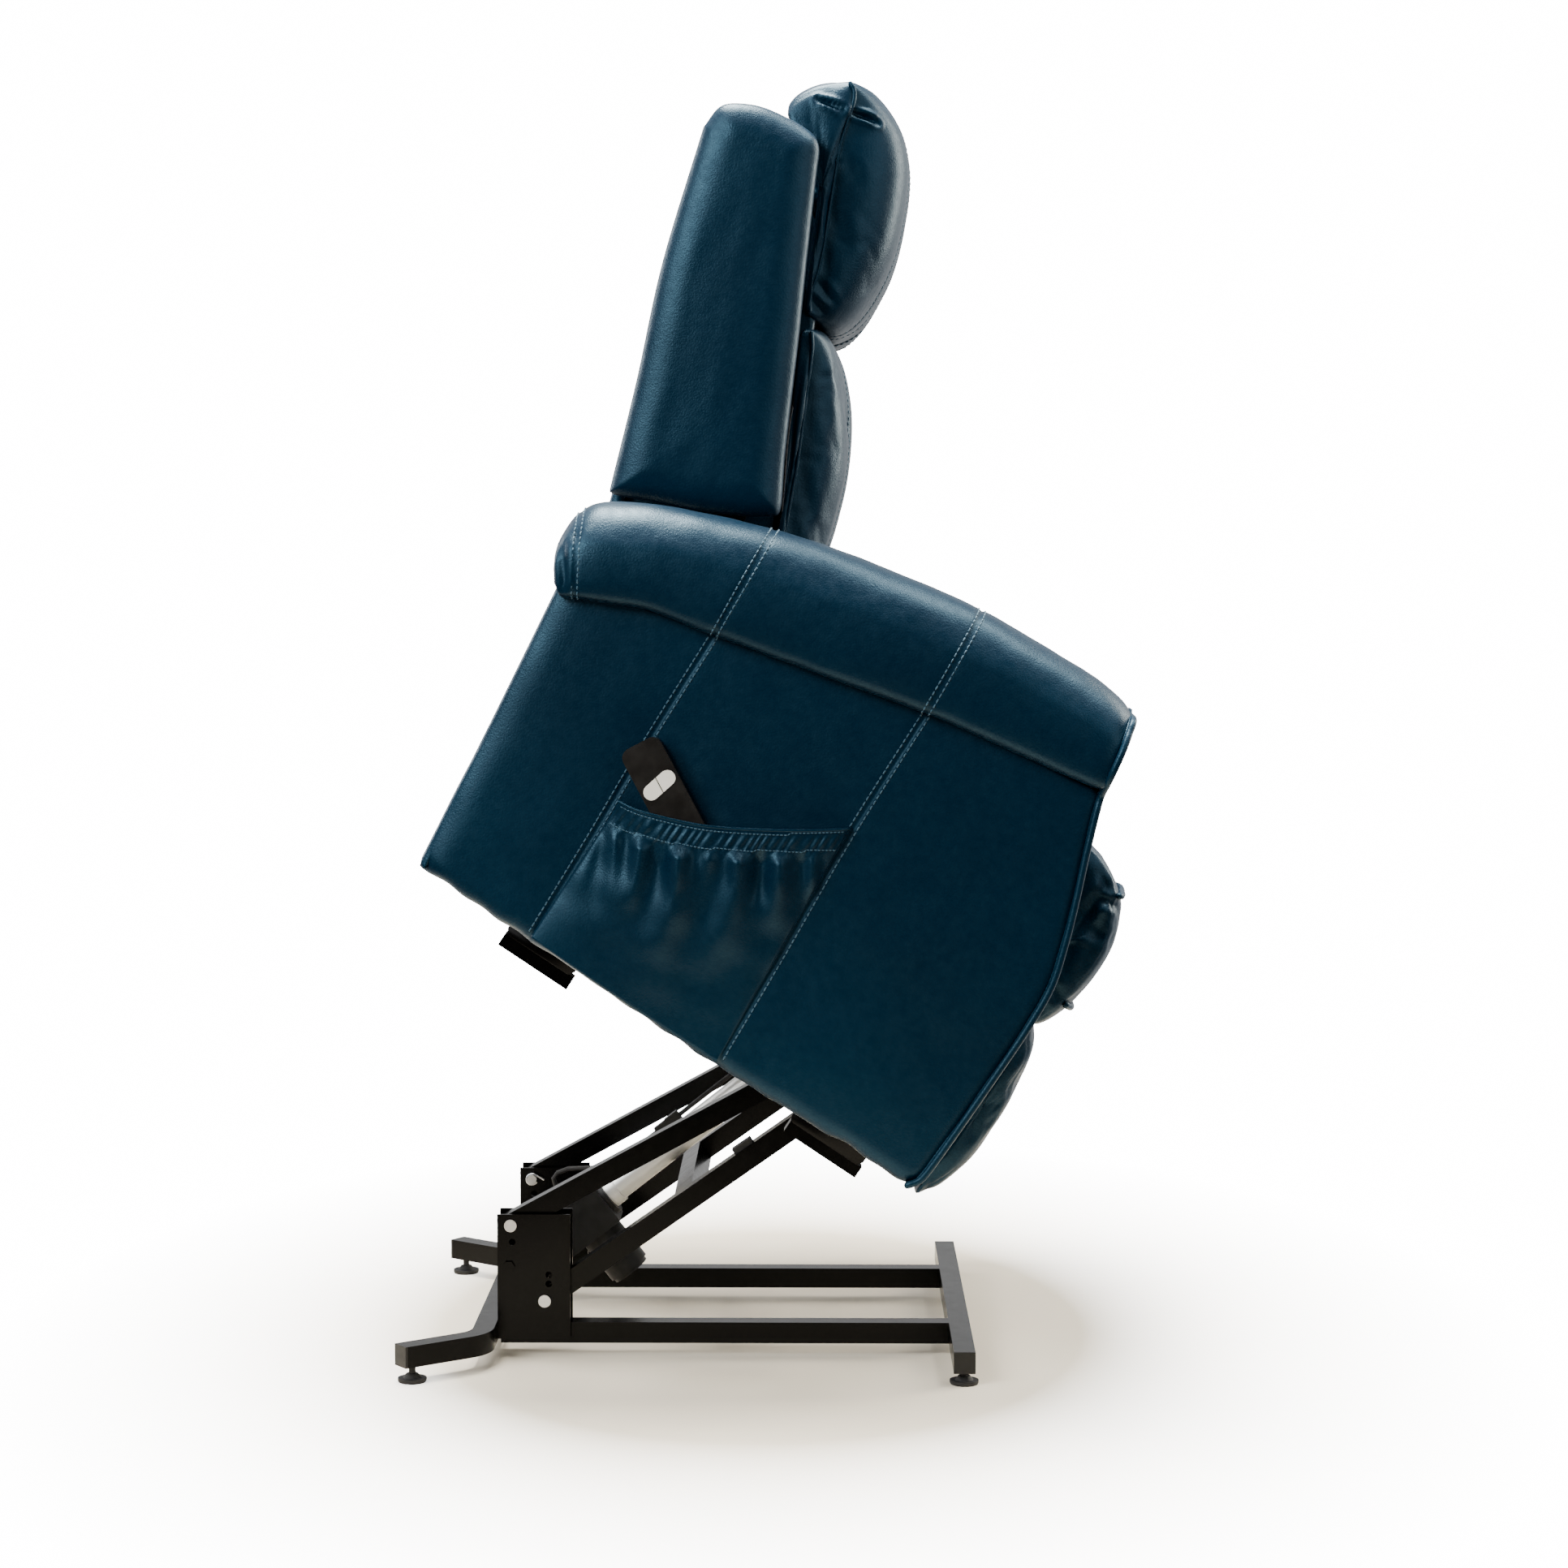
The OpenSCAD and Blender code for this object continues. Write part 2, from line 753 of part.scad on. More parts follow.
module handset_front() {
    color("black") at_handset() difference() {
        handset_slab(0, -handset_y1, -handset_split);
        handset_slab(shell, -handset_y1 + shell, -handset_split + 1);
        capsule(button_gap, -handset_y1 - 1, -handset_split);
    }
}

module half_capsule(side) {
    slit = 0.6;
    intersection() {
        capsule(0, -handset_y1 - button_rise, -handset_y1 - button_rise + button_depth);
        translate([0, -handset_y1 - 5, side > 0 ? slit : -slit - handset_width])
            cube([handset_length, 20, handset_width]);
    }
}

module handset_up_button() {
    color("ivory") at_handset() half_capsule(1);
}

module handset_down_button() {
    color("ivory") at_handset() half_capsule(-1);
}

module power_supply() {
    color("dimgray") raised()
        block([lift_rear_x - 28, -75, lift_high], [lift_rear_x + 13, 75, lift_high + 38]);
}

// Recline hinge plates and the legrest link mounts
module side_brackets() {
    p = back_pivot;
    color("black") raised() {
        difference() {
            slabs([[-291, 342], [-287, 362], [-264, 366], [-230, 330], [-200, 322],
                [-200, 262], [-250, 262]], seat_y, seat_y + 4);
            rod_y(pin_r, -300, 300, p);
        }
        difference() {
            slabs([[134, lift_low + 1], [166, lift_low + 1], [166, 236], [134, 236]],
                lift_y - half - 3, lift_y - half);
            rod_y(link_pin_r, -300, 300, rear_link_pivot);
        }
    }
}

// ------------------------------------------------------------ legrest
module legrest_rear_links() {
    color("dimgray") raised() both_sides() {
        flat_bar(rear_link_pivot, elbow, link_boss_r, link_pin_r + run_fit, link_pin_r, 192, 198);
        rod_y(link_pin_r, 181, 198, elbow);
    }
}

module legrest_front_links() {
    color("dimgray") raised() both_sides()
        flat_bar(elbow, legrest_pivot, front_boss_r, link_pin_r + run_fit,
            link_pin_r + run_fit, 183, 189);
}

module legrest_board() {
    lug = legrest_pivot;
    color("burlywood") raised() slab([[264, 66], [276, 66], [276, 290], [264, 290]], -262, 262);
    color("dimgray") raised() both_sides() {
        difference() {
            union() {
                rod_y(9, 174, 180, lug);
                slab([[lug[0], lug[1] - 9], [264, lug[1] - 24], [264, lug[1] + 24],
                    [lug[0], lug[1] + 9]], 174, 180);
            }
            rod_y(link_pin_r, 173, 181, lug);
        }
        rod_y(link_pin_r, 174, 191, lug);
    }
}

module legrest_pad() {
    front = [[295, 59], [302, 67], [311, 89], [318, 124], [319, 191], [312, 264], [296, 292]];
    color("midnightblue") raised()
        slab(concat([[277, 62]], front, [[277, 292]]), -270, 270);
}

// ------------------------------------------------------------ backrest
module back_core() {
    middle = [[-385, 342], [-452, 534], [-597, 955], [-588, 992], [-500, 1000],
        [-484, 980], [-296, 628], [-262, 560], [-238, 470], [-236, 400], [-252, 340]];
    flank = [[-395, 385], [-250, 385], [-240, 470], [-264, 560], [-296, 612],
        [-374, 562], [-452, 520]];
    color("midnightblue") raised() {
        slab(middle, -core_half, core_half);
        slabs(flank, 250, 272);
    }
}

module back_shell() {
    color("midnightblue") raised()
        slab(concat(back_rear, [[-602, 957], [-457, 536], [-387, 335]]), -wing_y0 + 2, wing_y0 - 2);
}

// Upright, with the hinge plate that swings on the recline pin
module back_posts() {
    post = [[-300, 344], [-262, 344], [-262, 420], [-330, 620], [-470, 900], [-500, 900],
        [-360, 620]];
    color("burlywood") raised() slabs(post, core_half + 1, post_y1);
    color("black") raised() difference() {
        slabs([[-290, 340], [-262, 340], [-262, 380], [-300, 380]], post_y1, 249);
        rod_y(pin_r + run_fit, -300, 300, back_pivot);
    }
}

module wing() {
    top = [[-611, 978], [-590, 997], [-559, 1009], [-511, 1014], [-478, 983]];
    color("midnightblue") raised()
        slab(concat([[-614, 957], [-470, 546], [-374, 590], [-292, 636]], flip(top)),
            wing_y0, wing_y1);
}

module wing_left() {
    wing();
}

module wing_right() {
    mirror([0, 1, 0]) wing();
}

module lumbar_cushion() {
    front = arc3([-360, 838], [-264, 733], [-222, 620], 8);
    color("midnightblue") raised()
        slab(concat([[-388, 815], [-384, 836]], front, [[-198, 540], [-198, 482],
            [-232, 476], [-256, 560], [-290, 630]]), -lumbar_half, lumbar_half);
}

module headrest_pillow() {
    face = [[-552, 1028], [-550, 1051], [-537, 1072], [-514, 1091], [-470, 1104],
        [-416, 1083], [-374, 1027], [-347, 953], [-342, 873], [-352, 845]];
    color("midnightblue") raised()
        slab(concat(flip(face), [[-496, 1020], [-402, 842], [-380, 838]]),
            -pillow_half, pillow_half);
}

front_crossbar();
base_rails();
rear_cross_tube();
rear_legs();
tube_end_caps();
foot_glides();
pivot_brackets();
base_pivot_pins();
hairpin_clips();
stop_bolts();
actuator_mount();
upper_links();
upper_link_bushes();
lower_links();
lower_link_crossbar();
lower_link_bushes();
link_bumpers();
actuator_gearbox();
actuator_motor();
actuator_tube();
actuator_spindle();
actuator_lead();
lead_connector();
actuator_rod();
rod_pin();
lift_frame();
link_hangers();
frame_pins();
actuator_clevis();
skids();
seat_frame();
seat_springs();
seat_cushion();
knee_roll();
arm_frames();
arm_outer_panels();
arm_inner_panels();
arm_end_panels();
arm_roll_right();
arm_roll_left();
rear_lower_panel();
side_pocket();
handset_back();
handset_front();
handset_up_button();
handset_down_button();
power_supply();
side_brackets();
legrest_rear_links();
legrest_front_links();
legrest_board();
legrest_pad();
back_core();
back_shell();
back_posts();
wing_right();
wing_left();
lumbar_cushion();
headrest_pillow();
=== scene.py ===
"""Looks of the lift recliner chair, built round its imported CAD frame.

Upholstery is drawn in the seated frame, in millimetres: X to the chair's front, Y to the
sitter's left, Z up. place() carries it to the row frame, where the chair stands raised.
"""

import json
import math

import bmesh
import bpy
import numpy as np
from mathutils import Matrix, Vector
from mathutils.bvhtree import BVHTree


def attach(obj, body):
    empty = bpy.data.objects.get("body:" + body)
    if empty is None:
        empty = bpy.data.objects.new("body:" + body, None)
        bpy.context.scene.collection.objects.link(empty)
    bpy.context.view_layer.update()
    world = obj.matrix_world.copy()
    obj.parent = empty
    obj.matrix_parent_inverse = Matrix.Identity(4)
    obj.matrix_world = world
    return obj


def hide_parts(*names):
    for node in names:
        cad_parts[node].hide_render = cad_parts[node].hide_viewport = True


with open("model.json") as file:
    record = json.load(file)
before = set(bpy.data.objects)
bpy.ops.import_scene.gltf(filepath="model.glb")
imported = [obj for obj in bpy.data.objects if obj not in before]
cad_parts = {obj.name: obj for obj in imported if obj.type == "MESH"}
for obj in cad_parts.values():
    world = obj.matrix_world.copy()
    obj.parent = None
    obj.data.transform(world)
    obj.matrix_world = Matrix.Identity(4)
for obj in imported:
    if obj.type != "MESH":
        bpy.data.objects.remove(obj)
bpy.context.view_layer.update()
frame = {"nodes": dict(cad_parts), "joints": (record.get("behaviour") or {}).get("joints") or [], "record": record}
joints = {j["name"]: j for j in frame["joints"]}
MM = 0.001
SIDES = (-1, 1)  # the sitter's right and left


# ------------------------------------------------------------ camera
CAMERA_AT = (0.070, -4.055, 0.957)
CAMERA_DOWN, CAMERA_LEFT = math.radians(3.865), math.radians(0.60)
CAMERA_LENS = 74.76


def make_camera():
    data = bpy.data.cameras.new("camera")
    data.sensor_width = 36.0
    data.lens = CAMERA_LENS
    data.clip_end = 200.0
    camera = bpy.data.objects.new("camera", data)
    camera.location = CAMERA_AT
    down, left = CAMERA_DOWN, CAMERA_LEFT
    ahead = Vector((-math.sin(left) * math.cos(down), math.cos(left) * math.cos(down),
                    -math.sin(down)))
    camera.rotation_euler = ahead.to_track_quat("-Z", "Y").to_euler()
    bpy.context.scene.collection.objects.link(camera)
    bpy.context.scene.camera = camera


make_camera()


# ------------------------------------------------------------ seated frame
def seated_matrix():
    """Seated millimetres to the raised row frame in metres, from the lift's own joints."""
    lift, tilt = joints["lift"], joints["chair_tilt"]
    pivot, raised = Vector(lift["pos_m"]), Vector(tilt["pos_m"])
    swing = math.radians(lift["range_deg"][1])
    follow = abs(next(c["ratio"] for c in frame["record"]["behaviour"]["couplings"]
                      if c["joint"] == "chair_tilt"))
    lean = swing * follow - swing
    seated = pivot + Matrix.Rotation(swing, 3, "Y") @ (raised - pivot)
    return (Matrix.Translation(raised) @ Matrix.Rotation(lean, 4, "Y")
            @ Matrix.Translation(-seated) @ Matrix.Scale(MM, 4))


SEATED = np.array(seated_matrix())


def place(points):
    return np.asarray(points, float).reshape(-1, 3) @ SEATED[:3, :3].T + SEATED[:3, 3]


# ------------------------------------------------------------ curves
def run_along(points):
    """Distance from the first point to each point of a curve."""
    steps = np.linalg.norm(np.diff(points, axis=0), axis=1)
    return np.concatenate([[0], np.cumsum(steps)])


def to_the_ends(t, amount):
    """Moves shares from 0 to 1 closer to both ends."""
    return t - amount * np.sin(2 * math.pi * t) / (2 * math.pi)


def spline(points, count=None, step=6.0, closed=False):
    """Catmull-Rom curve through points, evenly spaced: count points, or about step apart."""
    p = np.asarray(points, float)
    if closed:
        p = np.vstack([p[-1], p, p[:2]])
    else:
        p = np.vstack([2 * p[0] - p[1], p, 2 * p[-1] - p[-2]])
    fine = []
    for a, b, c, d in zip(p, p[1:], p[2:], p[3:]):
        for t in np.linspace(0, 1, 12, endpoint=False):
            fine.append(0.5 * (2 * b + (c - a) * t + (2 * a - 5 * b + 4 * c - d) * t ** 2
                               + (3 * b - a - 3 * c + d) * t ** 3))
    fine = np.array(fine + [p[-2]])
    run = run_along(fine)
    n = count or max(4, int(run[-1] / step) + 1)
    at = np.linspace(0, run[-1], n + 1)[:-1] if closed else np.linspace(0, run[-1], n)
    return np.stack([np.interp(at, run, fine[:, k]) for k in range(fine.shape[1])], axis=1)


def paired(full, side, step):
    """Two loops with matched key points, sampled alike, about step apart on the first."""
    both = np.hstack([np.asarray(full, float), np.asarray(side, float)])
    length = run_along(np.vstack([both, both[:1]])[:, :2])[-1]
    pick = spline(both, 3 * int(length / step), closed=True)[::3]
    return pick[:, :2], pick[:, 2:]


def ripple(p, length, seed, count=7):
    """Smooth seeded undulation from -1 to 1 whose waves are about length long."""
    r = np.random.default_rng(seed)
    total = np.zeros(len(p))
    for _ in range(count):
        d = r.normal(size=p.shape[1])
        d = d / np.linalg.norm(d) * (2 * math.pi / (length * r.uniform(0.6, 1.6)))
        total += np.sin(p @ d + r.uniform(0, 6.28))
    return total / count ** 0.5


# ------------------------------------------------------------ meshes
def grid_faces(rows, cols, wrap=False):
    last = cols if wrap else cols - 1
    return [(i * cols + j, i * cols + (j + 1) % cols,
             (i + 1) * cols + (j + 1) % cols, (i + 1) * cols + j)
            for i in range(rows - 1) for j in range(last)]


def outward(mesh):
    """Turns every face the same way, outward on a closed piece."""
    work = bmesh.new()
    work.from_mesh(mesh)
    bmesh.ops.recalc_face_normals(work, faces=work.faces)
    work.to_mesh(mesh)
    work.free()


def make(name, verts, faces, material, slot):
    mesh = bpy.data.meshes.new(name)
    mesh.from_pydata([tuple(v) for v in place(verts)], [], faces)
    mesh.validate()
    outward(mesh)
    mesh.polygons.foreach_set("use_smooth", [True] * len(mesh.polygons))
    mesh.update()
    piece = bpy.data.objects.new(name, mesh)
    bpy.context.scene.collection.objects.link(piece)
    mesh.materials.append(material)
    return piece


def leather(name, verts, faces):
    return make(name, verts, faces, MAT["leather"], "blue_leather")


def cover(piece, node, body):
    """Puts a finished piece in its CAD node's place: hides the node and attaches the piece to body."""
    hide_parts(node)
    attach(piece, body)


def two_faced(front, back, rows, cols):
    """Closed solid of two like grids of points, one behind the other, with its rim."""
    n = rows * cols
    faces = grid_faces(rows, cols)
    faces += [tuple(n + k for k in reversed(f)) for f in faces]
    rim = ([(0, j) for j in range(cols)] + [(i, cols - 1) for i in range(1, rows)]
           + [(rows - 1, j) for j in range(cols - 2, -1, -1)]
           + [(i, 0) for i in range(rows - 2, 0, -1)])
    rim = [i * cols + j for i, j in rim]
    faces += [(a, b, b + n, a + n) for a, b in zip(rim, rim[1:] + rim[:1])]
    return np.vstack([front, back]), faces


def sheet_solid(points, thick, way):
    """A grid of surface points thickened by thick along the vector way."""
    rows, cols = points.shape[:2]
    front = points.reshape(-1, 3)
    return two_faced(front, front + np.asarray(way, float) * thick, rows, cols)


def lofted(rings):
    """Closed solid through like rings of points, flat at both ends."""
    n = len(rings[0])
    verts = np.array(rings).reshape(-1, 3)
    faces = grid_faces(len(rings), n, wrap=True)
    faces.append(tuple(range(n - 1, -1, -1)))
    faces.append(tuple(len(verts) - n + k for k in range(n)))
    return verts, faces


def mirrored(points, side):
    out = np.array(points, float)
    out[..., 1] *= side
    return out


def tube(path, radius, sides=10):
    """Round bar along a path, with domed ends."""
    p = np.asarray(path, float)
    along = np.gradient(p, axis=0)
    along /= np.linalg.norm(along, axis=1)[:, None]
    up = np.tile([0.0, 0.0, 1.0], (len(p), 1))
    up[np.abs(along[:, 2]) > 0.95] = [0.0, 1.0, 0.0]
    across = np.cross(along, up)
    for i in range(1, len(p)):
        a = across[i - 1] - along[i] * (across[i - 1] @ along[i])
        across[i] = a if np.linalg.norm(a) > 1e-6 else across[i]
        across[i] /= np.linalg.norm(across[i])
    across[0] /= np.linalg.norm(across[0])
    other = np.cross(along, across)
    rings, r = [], np.broadcast_to(radius, (len(p),))
    angles = np.linspace(0, 2 * math.pi, sides, endpoint=False)
    end = len(p) - 1
    order = ([(0, -0.9, 0.35), (0, -0.6, 0.8)] + [(i, 0, 1) for i in range(len(p))]
             + [(end, 0.6, 0.8), (end, 0.9, 0.35)])
    for i, slide, scale in order:
        centre = p[i] + along[i] * slide * r[i]
        rings.append([centre + r[i] * scale * (across[i] * math.cos(a) + other[i] * math.sin(a))
                      for a in angles])
    return lofted(rings)


def joined(parts):
    verts, faces, start = [], [], 0
    for v, f in parts:
        verts.append(np.asarray(v).reshape(-1, 3))
        faces += [tuple(start + k for k in face) for face in f]
        start += len(verts[-1])
    return np.vstack(verts), faces


def stitches(path, normal, stitch=4.6, space=2.4, radius=0.85, lift=0.45):
    """Thread dashes along a path that lies on leather; normal points out of the leather."""
    p, n = np.asarray(path, float), np.asarray(normal, float)
    run = run_along(p)
    parts, at = [], 1.0
    while at + stitch < run[-1]:
        s = np.linspace(at, at + stitch, 4)
        q = np.stack([np.interp(s, run, p[:, k]) for k in range(3)], axis=1)
        m = np.stack([np.interp(s, run, n[:, k]) for k in range(3)], axis=1)
        q = q + m * (lift * np.array([-0.6, 1, 1, -0.6]))[:, None]
        parts.append(tube(q, radius * np.array([0.8, 1, 1, 0.8]), 6))
        at += stitch + space
    return parts


def surface_normals(points):
    du = np.gradient(points, axis=0)
    dv = np.gradient(points, axis=1)
    n = np.cross(du, dv)
    return n / np.maximum(np.linalg.norm(n, axis=2), 1e-9)[..., None]


def column_at(points, x):
    """Path on a grid whose rows run along X: in each row, the point where X is x[row]."""
    out, nor, normals = [], [], surface_normals(points)
    for i in range(len(points)):
        xs = points[i, :, 0]
        f = np.interp(x[i], xs, np.arange(len(xs)))
        a = min(int(f), len(xs) - 2)
        out.append(points[i, a] * (1 - f + a) + points[i, a + 1] * (f - a))
        nor.append(normals[i, a])
    return np.array(out), np.array(nor)


def thread(name, parts, body):
    verts, faces = joined(parts)
    piece = make(name, verts, faces, MAT["thread"], "blue_leather")
    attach(piece, body)
    return piece


def points_of(piece):
    co = np.zeros(len(piece.data.vertices) * 3)
    piece.data.vertices.foreach_get("co", co)
    return co.reshape(-1, 3)


def set_points(piece, co):
    piece.data.vertices.foreach_set("co", np.asarray(co, np.float32).ravel())
    piece.data.update()


def normals_of(piece):
    n = np.zeros(len(piece.data.vertices) * 3)
    piece.data.vertices.foreach_get("normal", n)
    return n.reshape(-1, 3)


def subdivided(piece, levels=1):
    mod = piece.modifiers.new("smooth", "SUBSURF")
    mod.levels = mod.render_levels = levels
    mod.quality = 1
    mod.use_limit_surface = False
    bpy.context.view_layer.update()
    shaped = piece.evaluated_get(bpy.context.evaluated_depsgraph_get())
    mesh = bpy.data.meshes.new_from_object(shaped)
    piece.modifiers.remove(mod)
    piece.data = mesh


def surface_of(piece):
    return BVHTree.FromPolygons([v.co for v in piece.data.vertices],
                                [tuple(f.vertices) for f in piece.data.polygons])


def on_surface(piece, path, tree=None):
    """Nearest points of a piece to a seated path, with the normals there."""
    tree = tree or surface_of(piece)
    back = np.linalg.inv(SEATED)
    where, way = [], []
    for p in place(path):
        spot, normal, _, _ = tree.find_nearest(Vector(p))
        where.append(back[:3, :3] @ np.array(spot) + back[:3, 3])
        way.append(back[:3, :3] @ np.array(normal))
    way = np.array(way)
    return np.array(where), way / np.linalg.norm(way, axis=1)[:, None]


def nearest(co, line):
    """Distance from each point to the closest point of a dense line, and where along it."""
    off, at = np.full(len(co), 1e9), np.zeros(len(co))
    for k, p in enumerate(line):
        d = np.linalg.norm(co - p, axis=1)
        closer = d < off
        off[closer], at[closer] = d[closer], k / (len(line) - 1)
    return off, at


def both_sides(folds, y):
    """Cuts on the two ends of a cushion, from (x, z) at y to (x, z) at the y in the row."""
    return [((x0, s * y, z0), (x1, s * y1, z1), depth, wide)
            for s in SIDES for x0, z0, x1, z1, y1, depth, wide in folds]


def creased(piece, cuts):
    """Pinches folds into a piece. A cut is (a, b, depth, width): seated points, millimetres."""
    co, n, tree = points_of(piece), normals_of(piece), surface_of(piece)
    move = np.zeros(len(co))
    for a, b, depth, width in cuts:
        path = np.linspace(a, b, 5 + int(np.linalg.norm(np.subtract(a, b)) / 3))
        off, at = nearest(co, place(on_surface(piece, path, tree)[0]))
        off /= width * MM
        taper = np.sin(math.pi * np.clip(at, 0.05, 0.95)) ** 0.7
        move -= depth * MM * taper * (np.exp(-off ** 2) - 0.45 * np.exp(-(off - 2.2) ** 2))
    set_points(piece, co + n * move[:, None])


def grooved(piece, path, depth, width):
    """Sinks a seam into a piece along a seated path."""
    co, n = points_of(piece), normals_of(piece)
    off, _ = nearest(co, place(on_surface(piece, path)[0]))
    off /= width * MM
    move = depth * MM * (np.exp(-off ** 2) + 0.3 * np.exp(-(off / 3.5) ** 2))
    set_points(piece, co - n * move[:, None])


def relaxed(piece, pinned, pressure=4.0, slack=0.0, frames=16, cap=0.022):
    """Lets the cover balloon between its pinned seams, with Blender's cloth, and keeps it."""
    before = points_of(piece)
    group = piece.vertex_groups.new(name="seams")
    group.add([int(k) for k in pinned], 1.0, "REPLACE")
    mod = piece.modifiers.new("cloth", "CLOTH")
    cloth = mod.settings
    cloth.quality = 6
    cloth.mass = 0.3
    cloth.tension_stiffness = cloth.compression_stiffness = 18
    cloth.shear_stiffness = 8
    cloth.bending_stiffness = 0.6
    cloth.use_pressure = True
    cloth.uniform_pressure_force = pressure
    cloth.shrink_min = -slack
    cloth.vertex_group_mass = "seams"
    cloth.effector_weights.gravity = 0
    mod.collision_settings.use_collision = False
    scene = bpy.context.scene
    for step in range(1, frames + 1):
        scene.frame_set(step)
    shaped = piece.evaluated_get(bpy.context.evaluated_depsgraph_get())
    after = np.array([v.co for v in shaped.data.vertices])
    piece.modifiers.remove(mod)
    scene.frame_set(1)
    move = after - before
    size = np.linalg.norm(move, axis=1)
    move *= np.minimum(1, cap / np.maximum(size, 1e-9))[:, None]
    set_points(piece, before + move)
    piece.vertex_groups.clear()


# ------------------------------------------------------------ materials
def new_material(name):
    material = bpy.data.materials.new(name)
    material.use_nodes = True
    tree = material.node_tree
    shader = tree.nodes["Principled BSDF"]
    coord = tree.nodes.new("ShaderNodeTexCoord").outputs["Object"]
    return material, tree, shader, coord


def texture(tree, coord, kind, scale, **settings):
    node = tree.nodes.new(kind)
    node.inputs["Scale"].default_value = scale
    for key, value in settings.items():
        if key in node.inputs:
            node.inputs[key].default_value = value
        else:
            setattr(node, key, value)
    tree.links.new(coord, node.inputs["Vector"])
    return node


def ramp(tree, value, stops):
    node = tree.nodes.new("ShaderNodeValToRGB")
    line = node.color_ramp
    while len(line.elements) < len(stops):
        line.elements.new(0.5)
    for element, (at, colour) in zip(line.elements, stops):
        element.position = at
        element.color = (*colour, 1)
    tree.links.new(value, node.inputs["Fac"])
    return node.outputs["Color"]


def span(tree, value, low, high, from_low=0.3, from_high=0.7):
    node = tree.nodes.new("ShaderNodeMapRange")
    node.inputs["From Min"].default_value = from_low
    node.inputs["From Max"].default_value = from_high
    node.inputs["To Min"].default_value = low
    node.inputs["To Max"].default_value = high
    tree.links.new(value, node.inputs["Value"])
    return node.outputs["Result"]


def bump(tree, shader, layers):
    """Layers of (height output, distance in mm, strength), the finest last."""
    previous = None
    for height, distance, strength in layers:
        node = tree.nodes.new("ShaderNodeBump")
        node.inputs["Distance"].default_value = distance * MM
        node.inputs["Strength"].default_value = strength
        tree.links.new(height, node.inputs["Height"])
        if previous is not None:
            tree.links.new(previous, node.inputs["Normal"])
        previous = node.outputs["Normal"]
    tree.links.new(previous, shader.inputs["Normal"])


def mix_colour(tree, factor, a, b):
    node = tree.nodes.new("ShaderNodeMix")
    node.data_type = "RGBA"
    tree.links.new(factor, node.inputs[0])
    for socket, value in ((node.inputs[6], a), (node.inputs[7], b)):
        if isinstance(value, tuple):
            socket.default_value = (*value, 1)
        else:
            tree.links.new(value, socket)
    return node.outputs[2]


def leather_material():
    material, tree, shader, coord = new_material("petrol_leather")
    cloud = texture(tree, coord, "ShaderNodeTexNoise", 4.0, Detail=2.0)
    fleck = texture(tree, coord, "ShaderNodeTexNoise", 420.0, Detail=2.0)
    pebble = texture(tree, coord, "ShaderNodeTexVoronoi", 560.0, feature="SMOOTH_F1")
    grain = texture(tree, coord, "ShaderNodeTexNoise", 1500.0, Detail=3.0)
    hide = texture(tree, coord, "ShaderNodeTexNoise", 120.0, Detail=4.0)
    base = ramp(tree, cloud.outputs["Fac"], [(0.30, (0.0, 0.0082, 0.0215)),
                                             (0.75, (0.0, 0.0115, 0.0280))])
    speck = span(tree, fleck.outputs["Fac"], 0.0, 0.30, 0.5, 0.75)
    coloured = mix_colour(tree, speck, base, (0.0, 0.0080, 0.0190))
    worn = tree.nodes.new("ShaderNodeNewGeometry").outputs["Pointiness"]
    edge = span(tree, worn, 0.0, 0.30, 0.54, 0.64)
    shade = mix_colour(tree, edge, coloured, (0.0010, 0.0350, 0.0680))
    tree.links.new(shade, shader.inputs["Base Color"])
    rough = span(tree, hide.outputs["Fac"], 0.37, 0.46)
    tree.links.new(rough, shader.inputs["Roughness"])
    shader.inputs["Specular IOR Level"].default_value = 0.38
    shader.inputs["Specular Tint"].default_value = (0.37, 0.76, 1.0, 1)
    bump(tree, shader, [(hide.outputs["Fac"], 0.8, 0.22), (pebble.outputs["Distance"], 0.50, 0.42),
                        (grain.outputs["Fac"], 0.15, 0.20)])
    return material


def thread_material():
    material, tree, shader, coord = new_material("blue_thread")
    twist = texture(tree, coord, "ShaderNodeTexWave", 900.0, Distortion=2.0)
    tone = ramp(tree, twist.outputs["Fac"], [(0.2, (0.017, 0.072, 0.118)),
                                             (0.9, (0.046, 0.140, 0.205))])
    tree.links.new(tone, shader.inputs["Base Color"])
    shader.inputs["Roughness"].default_value = 0.6
    shader.inputs["Sheen Weight"].default_value = 0.2
    bump(tree, shader, [(twist.outputs["Fac"], 0.2, 0.5)])
    return material


def plain_material(name, dark, light, rough, metal=0.0, scale=60.0, fine=900.0, depth=0.12,
                   coat=0.0, specular=0.5, stretch=None):
    """Moulded, coated or drawn surfaces: mottled tone, uneven gloss, fine texture."""
    material, tree, shader, coord = new_material(name)
    if stretch:
        node = tree.nodes.new("ShaderNodeMapping")
        node.inputs["Scale"].default_value = stretch
        tree.links.new(coord, node.inputs["Vector"])
        coord = node.outputs["Vector"]
    patch = texture(tree, coord, "ShaderNodeTexNoise", scale, Detail=4.0)
    dust = texture(tree, coord, "ShaderNodeTexNoise", fine, Detail=3.0)
    tone = ramp(tree, patch.outputs["Fac"], [(0.35, dark), (0.70, light)])
    tree.links.new(tone, shader.inputs["Base Color"])
    gloss = span(tree, patch.outputs["Fac"], rough[0], rough[1])
    tree.links.new(gloss, shader.inputs["Roughness"])
    shader.inputs["Metallic"].default_value = metal
    shader.inputs["Specular IOR Level"].default_value = specular
    shader.inputs["Coat Weight"].default_value = coat
    shader.inputs["Coat Roughness"].default_value = 0.25
    bump(tree, shader, [(dust.outputs["Fac"], depth, 0.5)])
    return material


